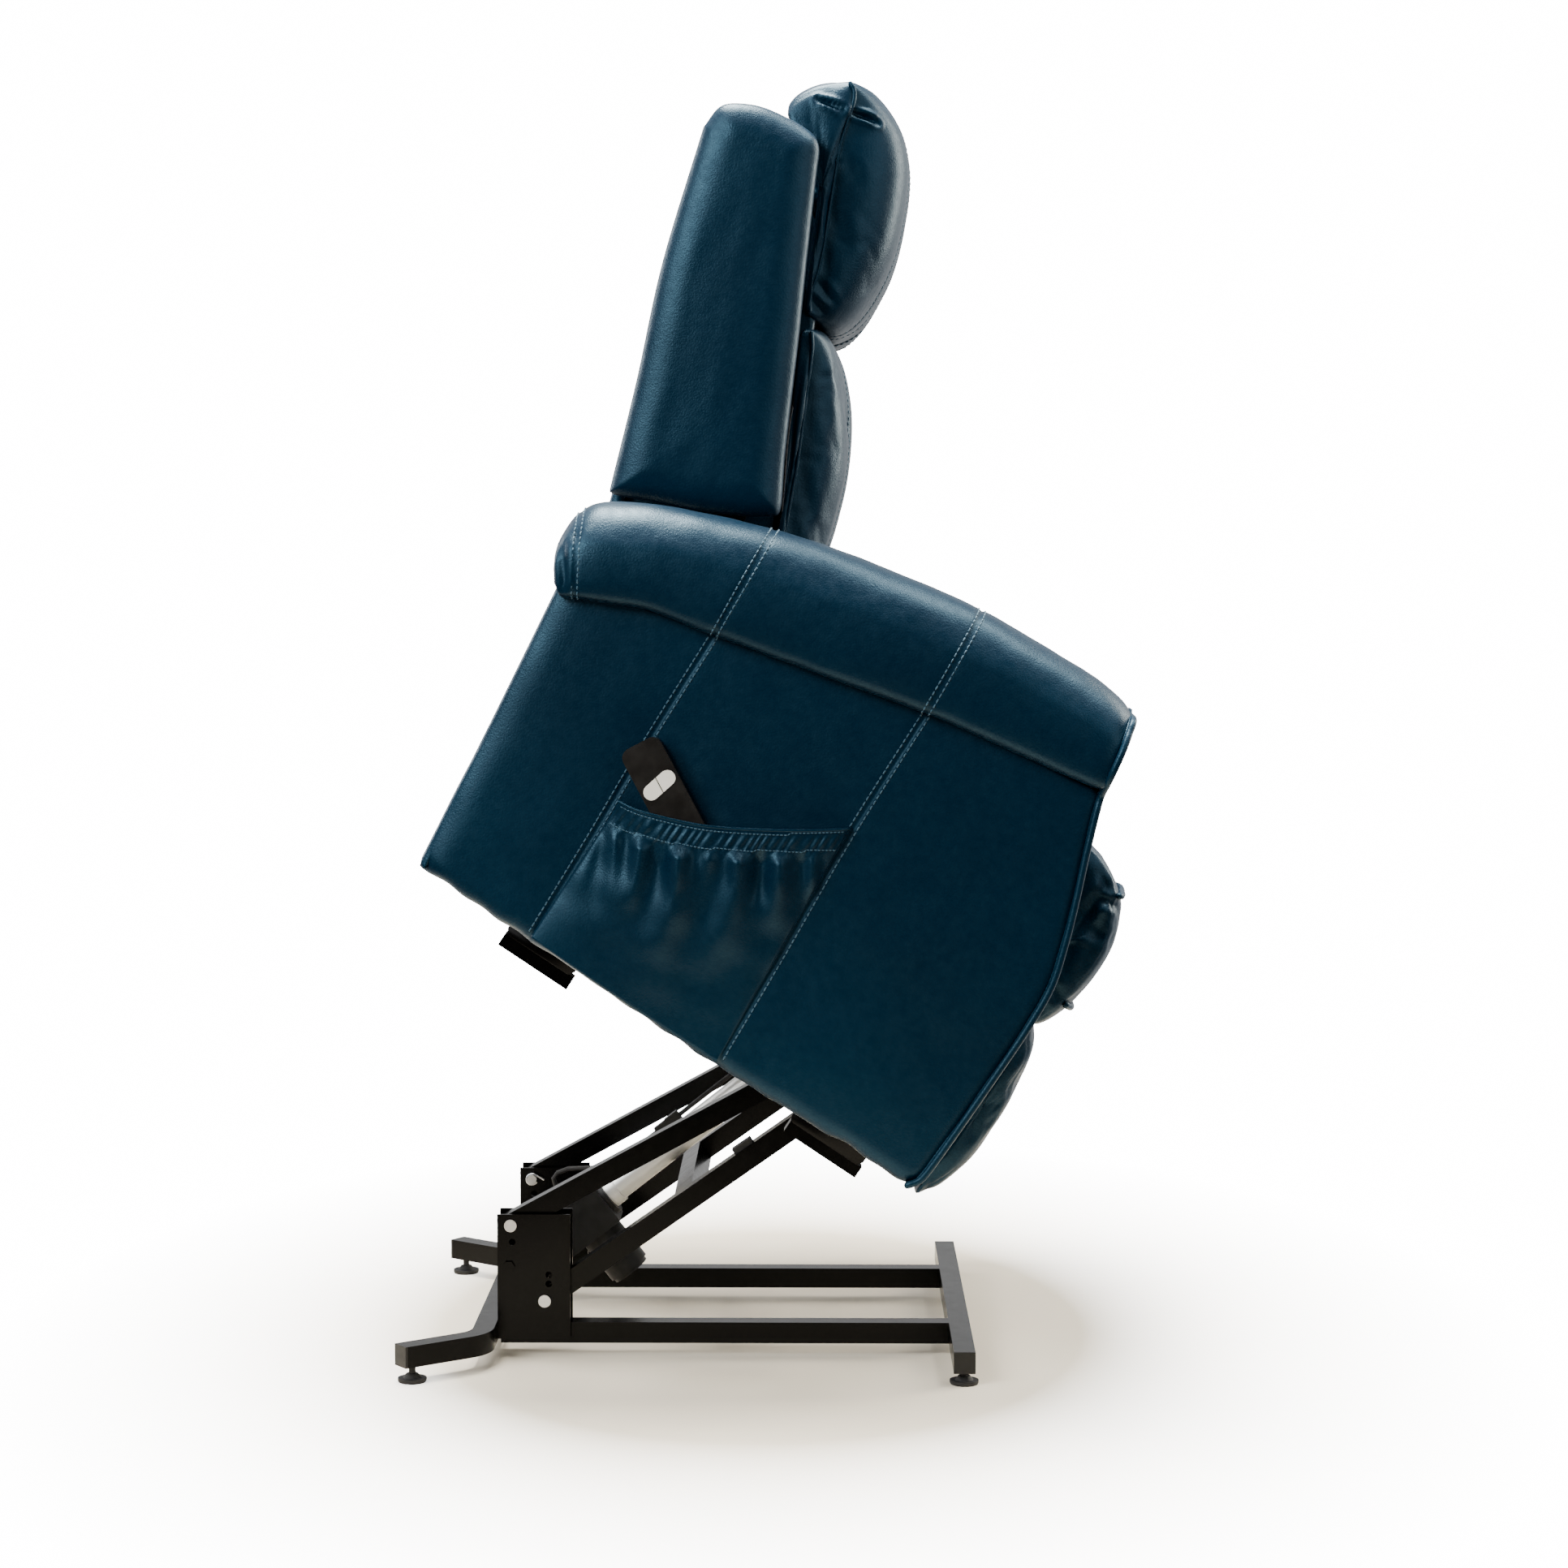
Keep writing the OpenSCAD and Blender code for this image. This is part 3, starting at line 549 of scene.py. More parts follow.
def wood_material():
    material, tree, shader, coord = new_material("plywood")
    node = tree.nodes.new("ShaderNodeMapping")
    node.inputs["Scale"].default_value = (0.12, 1.0, 1.0)
    tree.links.new(coord, node.inputs["Vector"])
    rings = texture(tree, node.outputs["Vector"], "ShaderNodeTexNoise", 55.0, Detail=5.0)
    pores = texture(tree, node.outputs["Vector"], "ShaderNodeTexNoise", 900.0, Detail=4.0)
    tone = ramp(tree, rings.outputs["Fac"], [(0.35, (0.30, 0.19, 0.10)), (0.65, (0.40, 0.27, 0.15))])
    tree.links.new(tone, shader.inputs["Base Color"])
    shader.inputs["Roughness"].default_value = 0.62
    bump(tree, shader, [(rings.outputs["Fac"], 0.15, 0.3), (pores.outputs["Fac"], 0.2, 0.4)])
    return material


MAT = {
    "leather": leather_material(),
    "thread": thread_material(),
    "steel": plain_material("black_powder_coat", (0.0004, 0.0004, 0.0004), (0.0010, 0.0010, 0.0009),
                            (0.22, 0.26), fine=1400.0, depth=0.03, specular=0.11),
    "zinc": plain_material("zinc_plate", (0.55, 0.56, 0.58), (0.78, 0.79, 0.80), (0.26, 0.42),
                           metal=1.0, fine=500.0, depth=0.04),
    "aluminium": plain_material("drawn_aluminium", (0.68, 0.68, 0.66), (0.74, 0.74, 0.71),
                                (0.32, 0.36), metal=0.50, scale=12.0, depth=0.01),
    "plastic": plain_material("black_plastic", (0.0020, 0.0020, 0.0021), (0.0045, 0.0045, 0.0045),
                              (0.42, 0.55), fine=1100.0, depth=0.14, specular=0.35),
    "handset": plain_material("handset_plastic", (0.0045, 0.0034, 0.0024), (0.0075, 0.0058, 0.0042),
                              (0.32, 0.42), fine=1600.0, depth=0.06),
    "ivory": plain_material("ivory_plastic", (0.94, 0.90, 0.79), (0.98, 0.95, 0.86), (0.38, 0.48),
                            fine=900.0, depth=0.05),
    "rubber": plain_material("black_rubber", (0.0025, 0.0025, 0.0025), (0.0070, 0.0068, 0.0065),
                             (0.62, 0.80), fine=700.0, depth=0.25),
    "wood": wood_material(),
    "cambric": plain_material("black_cambric", (0.0020, 0.0020, 0.0022), (0.0050, 0.0050, 0.0052),
                              (0.80, 0.92), fine=1300.0, depth=0.25, specular=0.2),
}

FINISH = {
    "steel": ["front_crossbar", "base_rails", "rear_cross_tube", "rear_legs", "pivot_brackets",
              "stop_bolts", "actuator_mount", "upper_links", "lower_links", "lower_link_crossbar",
              "lift_frame", "link_hangers", "actuator_clevis", "skids", "side_brackets"],
    "zinc": ["base_pivot_pins", "hairpin_clips", "frame_pins", "rod_pin", "legrest_rear_links",
             "legrest_front_links", "seat_springs", "actuator_spindle"],
    "aluminium": ["actuator_tube", "actuator_rod"],
    "plastic": ["tube_end_caps", "actuator_gearbox", "actuator_motor", "lead_connector",
                "upper_link_bushes", "lower_link_bushes", "power_supply"],
    "handset": ["handset_back", "handset_front"],
    "ivory": ["handset_up_button", "handset_down_button"],
    "rubber": ["foot_glides", "link_bumpers", "actuator_lead"],
    "wood": ["seat_frame", "arm_frames"],
    "cambric": ["back_posts", "legrest_board"],
}

SOFTENED = {"front_crossbar": 1.2, "base_rails": 1.2, "rear_legs": 1.2, "pivot_brackets": 0.8,
            "upper_links": 0.8, "lower_links": 1.0, "lower_link_crossbar": 1.0,
            "handset_front": 1.5, "handset_back": 1.0}


def dress_frame():
    for key, names in FINISH.items():
        for name in names:
            node = frame["nodes"][name]
            node.data.materials.clear()
            node.data.materials.append(MAT[key])
            if name in SOFTENED:
                mod = node.modifiers.new("edges", "BEVEL")
                mod.width = SOFTENED[name] * MM
                mod.segments = 3
                mod.limit_method = "ANGLE"
                mod.angle_limit = math.radians(50)
                mod.harden_normals = True


dress_frame()


# ------------------------------------------------------------ arms
PANEL_Y = 403.0  # outer face of the arms
INNER_Y = 283.6
ARM_MIDDLE = 344.0
THIN_WELT, THICK_WELT = 2.8, 4.2  # radii of the corded seams
REAR_EDGE = [(-411, 74), (-424, 180), (-440, 310), (-455, 426)]
SEAM_REAR = [(-261, 73), (-266, 208), (-273, 340), (-277, 486)]
SEAM_FRONT = [(-7, 71), (-15, 215), (-26, 376), (-30, 546)]
FRONT_EDGE = [(250, 79), (257, 87), (260.5, 106), (262, 156), (263, 230), (263, 300), (259, 356),
              (245, 405), (228, 452), (205, 510), (184, 569)]
ROLL = [  # (top point, crease point, width factor), rear to front
    ((-474, 448), (-452, 420), 0.80), ((-484, 472), (-444, 416), 0.90),
    ((-479, 511), (-428, 424), 0.97), ((-452, 538), (-402, 437), 1.0),
    ((-378, 576), (-352, 460), 1.0), ((-286, 612), (-277, 477), 1.0),
    ((-169, 643), (-170, 502), 1.0), ((-39, 667), (-30, 536), 1.0),
    ((76, 674), (76, 555), 1.0), ((128, 673), (140, 566), 1.0), ((162, 666), (182, 574), 1.0)]
ROLL_SEAMS = (2, 5, 7)  # the rows of ROLL that a seam crosses at
ROLL_SECTION = [  # (y, share of the height over the crease), outside to inside
    (396, 0.10), (403, 0.005), (418, 0.0), (427.5, 0.08), (431, 0.31), (428.5, 0.56), (416, 0.79),
    (396, 0.94), (370, 1.0), (345, 0.985), (322, 0.93), (306, 0.81), (297, 0.70), (289, 0.53),
    (285.5, 0.33), (285, 0.05)]
ROLL_MIDDLE = np.array([358.0, 0.42])
ROLL_STITCH = 4.8  # from a seam to the thread on each side of it
ROLL_TUCKS = [  # (x, y, z) to (x, y, z), depth and width of each small pleat at the rear end
    (-470, 424, 430, -438, 428, 434, 3.5, 4.0), (-462, 424, 446, -446, 428, 428, 3.0, 4.0),
    (-478, 420, 468, -462, 428, 450, 2.5, 5.0), (-482, 420, 492, -470, 430, 480, 1.8, 6.0)]


def seam_dip(distance, depth=2.6):
    """How far leather is pulled in beside a seam."""
    d = np.abs(distance)
    return -depth * np.exp(-(d / 1.9) ** 2) - 0.25 * depth * np.exp(-(d / 9.0) ** 2)


def lay_columns(edges, rows, spacing=4.0):
    """Grid between curves that run bottom to top, closely spaced beside each curve.

    Returns the grid and the column that each curve lies on."""
    lines = [spline(e, rows) for e in edges]
    blocks, marks, at = [], [], 0
    for a, b in zip(lines, lines[1:]):
        width = np.linalg.norm(a - b, axis=1).mean()
        share = to_the_ends(np.linspace(0, 1, int(width / spacing)), 0.55)
        if b is not lines[-1]:
            share = share[:-1]
        marks.append(at)
        at += len(share)
        share = share[None, :, None]
        blocks.append(a[:, None, :] * (1 - share) + b[:, None, :] * share)
    marks.append(at - 1)
    return np.concatenate(blocks, axis=1), marks


def rounded(distance, radius, depth):
    """How far a face has curved back at a distance from its edge, as a quarter ellipse."""
    near = np.clip(distance / radius, 0, 1)
    return depth * (1 - np.sqrt(1 - (1 - near) ** 2))


PANEL_SWELL = (1.4, 0.5, 1.4)  # of the three leathers of the outer panel, rear to front
PANEL_THICK = 2.5
SEAM_STITCH = 4.6  # from a seam to the thread on each side of it


def outer_panel_grid():
    flat, marks = lay_columns([REAR_EDGE, SEAM_REAR, SEAM_FRONT, FRONT_EDGE], 110)
    x, z = flat[..., 0], flat[..., 1]
    y = np.full(x.shape, PANEL_Y)
    for k in (1, 2):
        y += seam_dip(x - x[:, marks[k]][:, None], 1.1)
    p = np.stack([x.ravel(), z.ravel()], axis=1)
    y += 0.7 * ripple(p, 170, 3).reshape(x.shape) + 0.3 * ripple(p, 60, 5).reshape(x.shape)
    for a, b, swell in zip(marks, marks[1:], PANEL_SWELL):
        first, last = x[:, a][:, None], x[:, b][:, None]
        share = np.clip((x - first) / (last - first), 0, 1)
        inside = (x >= first) & (x <= last)
        y += np.where(inside, swell * np.sin(math.pi * share), 0)
    y -= rounded(x - x[:, :1], 34.0, 13)
    front = np.clip((x[:, -1:] - x) / 15.0, 0, 1)
    y -= 5.5 * (1 - front) ** 2
    y -= rounded(z - z[:1, :], 20.0, 12)
    low = np.clip((z - z[:1, :]) / 20.0, 0, 1)
    z = z + 1.5 * (1 - low) * ripple(p, 60, 11).reshape(x.shape)
    return np.stack([x, y, z], axis=2), marks


def wrap_under(points, reach=(8, 20, 34, 48)):
    """Extra rows that carry the panel's lower edge under the arm."""
    first = points[0]
    rows = [np.stack([first[:, 0], first[:, 1] - d, first[:, 2] - 1.5 - 0.01 * d], axis=1)
            for d in reversed(reach)]
    return np.concatenate([np.array(rows), points])


def arm_outer_panel(side, label):
    points, marks = outer_panel_grid()
    skin = wrap_under(points)
    verts, faces = sheet_solid(mirrored(skin, side), PANEL_THICK, (0, -side, 0))
    piece = leather("arm_outer_panel_" + label, verts, faces)
    parts = []
    for k in (1, 2):
        seam = points[:, marks[k], 0]
        for off in (-SEAM_STITCH, SEAM_STITCH):
            path, normal = column_at(points, seam + off)
            normal *= np.sign(normal[:, 1:2])
            parts += stitches(mirrored(path[2:-2], side), mirrored(normal[2:-2], side))
    thread("panel_stitches_" + label, parts, "chair")
    cover(piece, "arm_outer_panels", "chair")


def roll_grid():
    """Arm roll as sections from rear to front, how far along each is, and where its seams are."""
    tops = np.array([r[0] for r in ROLL], float)
    keys = np.array([(*top, *low, wide) for top, low, wide in ROLL])
    line = spline(keys, 175)
    out = spline(ROLL_SECTION, 64) - ROLL_MIDDLE
    along = run_along(line[:, :2])
    seams = [along[np.argmin(np.linalg.norm(line[:, :2] - tops[k], axis=1))] for k in ROLL_SEAMS]
    rows = []
    for i, row in enumerate(line):
        top, low, wide = row[:2], row[2:4], row[4]
        height = np.linalg.norm(top - low)
        reach = np.hypot(out[:, 0], out[:, 1] * height)
        push = sum(seam_dip(along[i] - s, 1.3) for s in seams)
        push -= 2.5 * math.exp(-((along[-1] - along[i]) / 8.0) ** 2)
        grow = 1 + push / np.maximum(reach, 1)
        y = ROLL_MIDDLE[0] + out[:, 0] * grow * wide
        h = ROLL_MIDDLE[1] + out[:, 1] * grow
        xz = low + (top - low) * h[:, None]
        rows.append(np.stack([xz[:, 0], y, xz[:, 1]], axis=1))
    points = np.array(rows)
    flat = points.reshape(-1, 3)
    lift = 0.8 * ripple(flat, 120, 21) + 0.25 * ripple(flat, 38, 22)
    normals = surface_normals(points).reshape(-1, 3)
    points = (flat + normals * lift[:, None]).reshape(points.shape)
    return points, along, seams


def arm_roll(side, label):
    points, along, seams = roll_grid()
    points = mirrored(points, side)
    rows, cols = points.shape[:2]
    verts = points.reshape(-1, 3)
    ends = [points[0].mean(axis=0), points[-1].mean(axis=0)]
    faces = grid_faces(rows, cols, wrap=True)
    last = (rows - 1) * cols
    n = len(verts)
    faces += [(n, j, (j + 1) % cols) for j in range(cols)]
    faces += [(n + 1, last + (j + 1) % cols, last + j) for j in range(cols)]
    piece = leather("arm_roll_cover_" + label, np.vstack([verts, ends]), faces)
    creased(piece, [((x0, side * y0, z0), (x1, side * y1, z1), depth, wide)
                    for x0, y0, z0, x1, y1, z1, depth, wide in ROLL_TUCKS])
    parts = []
    normals = surface_normals(points)
    middle = side * ROLL_MIDDLE[0]
    for s in seams:
        for off in (-ROLL_STITCH, ROLL_STITCH):
            i = int(np.argmin(np.abs(along - s - off)))
            path, normal = points[i, 2:-4], normals[i, 2:-4]
            flip = np.sign(np.sum(normal[:, 1] * (path[:, 1] - middle)))
            parts += stitches(path, normal * flip)
    thread("roll_stitches_" + label, parts, "chair")
    cover(piece, "arm_roll_" + label, "chair")


def front_line():
    """Side view of the arm's front face, bottom to top."""
    return spline(FRONT_EDGE[:-1] + [(184, 569), (174, 620), (165, 668)], 120)


def front_bounds(line):
    """Inner and outer Y of the arm's front face along front_line()."""
    low, high = np.array(ROLL[-1][1]), np.array(ROLL[-1][0])
    up = (high - low) / np.linalg.norm(high - low)
    h = (line - low) @ up / np.linalg.norm(high - low)
    outer = np.interp(h, [-0.06, 0.0, 0.03, 0.14, 0.36, 0.58, 0.79, 0.94, 1.0],
                      [403, 405, 415, 427, 431, 428, 416, 396, 372])
    inner = np.interp(h, [-0.2, 0.05, 0.33, 0.53, 0.70, 0.81, 0.93, 1.0],
                      [287, 285, 285.5, 289, 297, 306, 322, 348])
    return inner, outer


def arm_front(side, label):
    line = front_line()
    inner, outer = front_bounds(line)
    ahead = np.gradient(line, axis=0)
    ahead = np.stack([ahead[:, 1], -ahead[:, 0]], axis=1)
    ahead /= np.linalg.norm(ahead, axis=1)[:, None]
    across = np.linspace(-1, 1, 30)
    across = np.sign(across) * (1 - (1 - np.abs(across)) ** 1.5)
    run = np.linspace(0, 1, len(line))
    rise = np.clip(np.minimum(run, 1 - run) * 14, 0, 1) ** 0.6
    crown = 7.0 * (1 - np.abs(across)[None, :] ** 3) * rise[:, None]
    mid, half = (inner + outer) / 2, (outer - inner) / 2
    y = mid[:, None] + across[None, :] * half[:, None]
    x = line[:, :1] + ahead[:, :1] * (crown - 2)
    z = line[:, 1:] + ahead[:, 1:] * (crown - 2)
    points = mirrored(np.stack([x, y, z], axis=2), side)
    flat = points.reshape(-1, 3)
    flat[:, 0] += 0.6 * ripple(flat, 90, 31)
    verts, faces = sheet_solid(points, PANEL_THICK, (-1, 0, 0))
    piece = leather("arm_front_" + label, verts, faces)
    up = np.stack([line[:, 0], outer, line[:, 1]], axis=1)[:-1]
    down = np.stack([line[:, 0], inner, line[:, 1]], axis=1)[-2::-1]
    edge = spline(np.vstack([up, down])[::3], step=5.0)
    edge[:, 1] += np.sign(edge[:, 1] - ARM_MIDDLE) * 1.2
    welt = leather("arm_welt_" + label, *tube(mirrored(edge, side), THICK_WELT, 12))
    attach(welt, "chair")
    cover(piece, "arm_end_panels", "chair")


def plain_panel(name, node, low, high, y0, y1, thick, crown, body, seams=(), side=1):
    """Leather over board between two points in side view, from y0 to y1. Returns its face."""
    low, high = np.array(low, float), np.array(high, float)
    along = high - low
    length = np.linalg.norm(along)
    out = np.array([-along[1], along[0]]) / length
    v = to_the_ends(np.linspace(0, 1, int(length / 7) + 2), 0.7)
    u = to_the_ends(np.linspace(0, 1, int((y1 - y0) / 7) + 2), 0.7)
    uu, vv = np.meshgrid(u, v)
    edge = np.minimum(np.minimum(uu, 1 - uu) * (y1 - y0), np.minimum(vv, 1 - vv) * length)
    push = crown * (np.sin(math.pi * uu) * np.sin(math.pi * vv)) ** 0.5
    push -= rounded(edge, 10.0, 7)
    y = y0 + (y1 - y0) * uu
    for s in seams:
        push += seam_dip(np.abs(y) - s, 2.0)
    x = low[0] + along[0] * vv + out[0] * push
    z = low[1] + along[1] * vv + out[1] * push
    points = np.stack([x, y, z], axis=2)
    flat = points.reshape(-1, 3)
    flat[:, 0] += 0.5 * ripple(flat, 110, 41)
    points = mirrored(points, side)
    verts, faces = sheet_solid(points, thick, (-out[0], 0, -out[1]))
    piece = leather(name, verts, faces)
    if node:
        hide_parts(node)
    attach(piece, body)
    return points


def arm_inner_panel(side, label):
    cols, end = 90, 12
    top = spline([(-440, 420), (-352, 470), (-277, 487), (-170, 512), (-30, 546), (76, 562),
                  (150, 574), (182, 578)], cols)
    low = np.stack([np.linspace(-424, 250, cols), np.full(cols, 204.0)], axis=1)
    low[-end:, 0] = np.linspace(low[-end, 0], 258, end)
    t = np.linspace(0, 1, 40)[:, None, None]
    flat = low[None] * (1 - t) + top[None] * t
    x, z = flat[..., 0], flat[..., 1]
    y = INNER_Y + 0.8 * ripple(flat.reshape(-1, 2), 150, 51).reshape(x.shape)
    points = mirrored(np.stack([x, y, z], axis=2), side)
    verts, faces = sheet_solid(points, PANEL_THICK, (0, side, 0))
    piece = leather("arm_inner_panel_" + label, verts, faces)
    cover(piece, "arm_inner_panels", "chair")


def build_arm(side, label):
    arm_outer_panel(side, label)
    arm_roll(side, label)
    arm_front(side, label)
    plain_panel("arm_rear_" + label, None, (-412, 74), (-448, 424), 297, 398, PANEL_THICK, 3.0,
                "chair", side=side)
    arm_inner_panel(side, label)


# ------------------------------------------------------------ pocket
BRIM = [(-262, 262), (-236, 267), (-184, 286), (-142, 307), (-80, 345), (-29, 380)]
POUCH_FOOT = [(-261, 78), (-134, 76), (-8, 76)]
POUCH_WIDE = 255.0
POUCH_OPEN = 22.0  # how far the mouth stands off the arm
POUCH_LIMIT = 448.0
BAND = 27.0  # height of the elastic band below the brim
FOLDS = [  # (place along the band, half width, height, length) of each gather below it
    (0.05, 7, 7.0, 50), (0.16, 11, 12.0, 65), (0.33, 12, 14.0, 95), (0.455, 9, 11.0, 42),
    (0.57, 11, 13.0, 75), (0.75, 9, 11.0, 50), (0.89, 5, 4.5, 25)]
HANDSET = [(-280.5, 328), (-148.7, 256.4)]
HANDSET_HALF, HANDSET_LONG, HANDSET_FACE = 21, 147, 424.0


def handset_cover(x, z):
    """How far out the pouch has to stand to pass over the handset inside it."""
    a, b = np.array(HANDSET, float)
    along = (b - a) / np.linalg.norm(b - a)
    dx, dz = x - a[0], z - a[1]
    run = dx * along[0] + dz * along[1]
    off = np.abs(-dx * along[1] + dz * along[0]) - HANDSET_HALF
    past = np.maximum(np.maximum(off, 0), np.maximum(run - HANDSET_LONG, 0))
    return HANDSET_FACE + 3.0 - 0.012 * past ** 2


def band_gathers(run, down):
    """Fine ribs of the elastic band, at run along it and down from the brim."""
    band = np.exp(-(np.clip(down - BAND, 0, None) / 7.0) ** 2)
    wave = np.sin(run * 2 * math.pi / 10.0 + 1.8 * np.sin(run / 13.0) + 0.9 * np.sin(run / 5.1))
    tall = np.sin(math.pi * np.clip((down - 4) / 25, 0.0, 1.0)) + 0.40 * (down > BAND)
    uneven = 0.75 + 0.25 * np.sin(run / 7.3 + 1.0) * np.sin(run / 16.0)
    return 1.4 * band * (0.7 + wave[None]) * tall * uneven[None]


def gather(run, down, at, wide, high, reach):
    """One fold that falls from the band, with a valley on each side of it."""
    below = down - 26
    rise = np.clip(below / 16.0, 0, 1)
    fall = np.exp(-(np.clip(down - 60, 0, None) / reach) ** 2)
    centre = POUCH_WIDE * at + 0.52 * below - 0.0013 * below ** 2
    off = (run[None] - centre) / (wide * (1 + np.clip(below, 0, None) / 150.0))
    shape = np.exp(-off ** 2) - 0.30 * np.exp(-((np.abs(off) - 2.0) / 0.8) ** 2)
    return high * rise * fall * shape


def pouch_grid(cols=150, rows=90):
    """Face of the pouch, foot to brim, and how far below the brim each of its points is."""
    brim, foot = spline(BRIM, cols), spline(POUCH_FOOT, cols)
    u, v = np.linspace(0, 1, cols), np.linspace(0, 1, rows)
    flat = foot[None] * (1 - v)[:, None, None] + brim[None] * v[:, None, None]
    x, z = flat[..., 0], flat[..., 1]
    down = np.linalg.norm(brim - foot, axis=1)[None] * (1 - v)[:, None]
    mouth = (np.sin(math.pi * u) ** 0.42)[None]
    low = PANEL_Y + 1.8
    y = low + POUCH_OPEN * mouth * np.clip(1 - down / 290.0, 0, 1) ** 0.8
    y += 4.0 * np.exp(-((down - 130) / 60.0) ** 2) * mouth ** 2
    over = handset_cover(x, z)
    y = np.maximum(y, over) + 3.0 * np.log1p(np.exp(-np.abs(y - over) / 3.0))
    run = POUCH_WIDE * u
    y += band_gathers(run, down)
    for fold in FOLDS:
        y += gather(run, down, *fold)
    p = np.stack([x.ravel(), z.ravel()], axis=1)
    inside = np.sin(math.pi * np.clip(v, 0.02, 0.98))[:, None]
    y += 0.9 * ripple(p, 70, 61).reshape(x.shape) * inside
    y = np.clip(np.maximum(y, over), low, POUCH_LIMIT)
    return np.stack([x, -y, z], axis=2), down


def pocket():
    """Gathered leather pouch on the right arm, with an elastic band along its brim."""
    points, down = pouch_grid()
    verts, faces = sheet_solid(points, 2.2, (0, 1, 0))
    piece = leather("pocket_pouch", verts, faces)
    cover(piece, "side_pocket", "chair")
    parts = []
    normals = surface_normals(points)
    columns = np.arange(points.shape[1])
    for gap in (4.5, BAND):
        i = np.argmin(np.abs(down - gap), axis=0)
        path, normal = points[i, columns], normals[i, columns]
        normal *= -np.sign(normal[:, 1:2])
        parts += stitches(path[2:-2], normal[2:-2], 2.8, 1.6, 0.65)
    thread("pocket_stitches", parts, "chair")
    lip = leather("pocket_lip", *tube(points[-1] + [0, 1.1, 0], 1.9, 8))
    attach(lip, "chair")


# ------------------------------------------------------------ cushions
GUSSET_RINGS = 7
CHANNEL_DEPTH, CHANNEL_HALF = 3.0, 3.0
CHANNEL_STITCH = 5.5  # from a channel to its thread


def cushion(name, full, side, half, step=7.0, power=3.0, crown=0.0, end_bulge=10.0):
    """Closed cover: loop full at mid width eases to loop side at y = half, then a gusset.

    Returns the piece, its grid of loops before simulation, and the seam rings' indices."""
    mid, edge = paired(full, side, step)
    centre = edge.mean(axis=0)
    stations = max(9, int(2 * half / step) | 1)
    t = np.linspace(-1, 1, stations)
    t = np.sign(t) * (1 - (1 - np.abs(t)) ** 1.25)
    scales = [math.cos(math.pi / 2 * k / GUSSET_RINGS) for k in range(1, GUSSET_RINGS)] + [0.10]
    gusset = [(s, half + end_bulge * math.sqrt(max(0.0, 1 - s ** 3))) for s in scales]
    rings = [np.insert(centre + (edge - centre) * s, 1, -y, axis=1) for s, y in reversed(gusset)]
    for k in t:
        b = (1 - crown) * (1 - abs(k) ** power) ** 0.5 + crown * (1 - k * k)
        rings.append(np.insert(edge + (mid - edge) * b, 1, k * half, axis=1))
    rings += [np.insert(centre + (edge - centre) * s, 1, y, axis=1) for s, y in gusset]
    piece = leather(name, *lofted(rings))
    return piece, np.array(rings), [len(gusset), len(gusset) + stations - 1]


def ring_indices(rings, rows):
    n = rings.shape[1]
    return np.concatenate([np.arange(r * n, r * n + n) for r in rows])


def soft_detail(piece, size, amount, seed):
    co, n = points_of(piece), normals_of(piece)
    set_points(piece, co + n * (amount * MM * ripple(co * 1000, size, seed))[:, None])


def side_welts(name, loop, half, body):
    parts = [tube(np.insert(loop, 1, s * half, axis=1), THIN_WELT, 10) for s in SIDES]
    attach(leather(name, *joined(parts)), body)


def front_seams(piece, name, line, places):
    """Sewn channels down the front of a back cushion, each with a row of thread beside it."""
    parts = []
    line = spline(line, step=4.0)
    for y in [s * p for p in places for s in SIDES]:
        grooved(piece, np.insert(line, 1, y, axis=1), CHANNEL_DEPTH, CHANNEL_HALF)
    for y in [s * (p + CHANNEL_STITCH) for p in places for s in SIDES]:
        parts += stitches(*on_surface(piece, np.insert(line, 1, y, axis=1)))
    thread(name + "_stitches", parts, "backrest")


def behind(point, line, near=5):
    """True if a point lies within near of a polyline in side view."""
    p = np.array([point[0], point[2]])
    q = np.asarray(line, float)
    for a, b in zip(q, q[1:]):
        d = b - a
        t = min(1, max(0, (p - a) @ d / (d @ d)))
        if np.linalg.norm(p - a - t * d) < near:
            return True
    return False


def back_pinned(rings, seams, line):
    """Points of a back cushion that the cloth holds still: its seams and its rear."""
    rear = [k for k, point in enumerate(rings.reshape(-1, 3)) if behind(point, line)]
    return np.union1d(ring_indices(rings, seams), rear)


BACK_HALF = 232.0  # half the width of the back's two cushions
LUMBAR_FRONT = [(-205, 484), (-202, 520), (-210, 560), (-220, 602), (-229, 639), (-238, 668),
                (-252, 706), (-270, 742), (-291, 777), (-314, 805), (-339, 827), (-360, 837),
                (-380, 834)]
LUMBAR_WELT = [(-226, 484), (-236, 515), (-249, 548), (-265, 590), (-281, 624), (-296, 658),
               (-308, 686), (-320, 711), (-335, 742), (-349, 770), (-361, 795), (-370, 812),
               (-380, 826)]
LUMBAR_REAR = [(-387, 815), (-350, 745), (-318, 684), (-290, 630), (-256, 560), (-233, 486)]
LUMBAR_FOLDS = [  # from (x, z) to (x, z) at y, with depth and width
    (-352, 806, -300, 742, 226, 1.4, 6), (-330, 752, -276, 690, 226, 1.2, 7),
    (-306, 700, -258, 640, 226, 1.5, 7), (-286, 640, -240, 590, 226, 1.3, 6),
    (-268, 606, -232, 552, 226, 1.2, 7), (-345, 790, -322, 800, 226, 1.2, 5)]


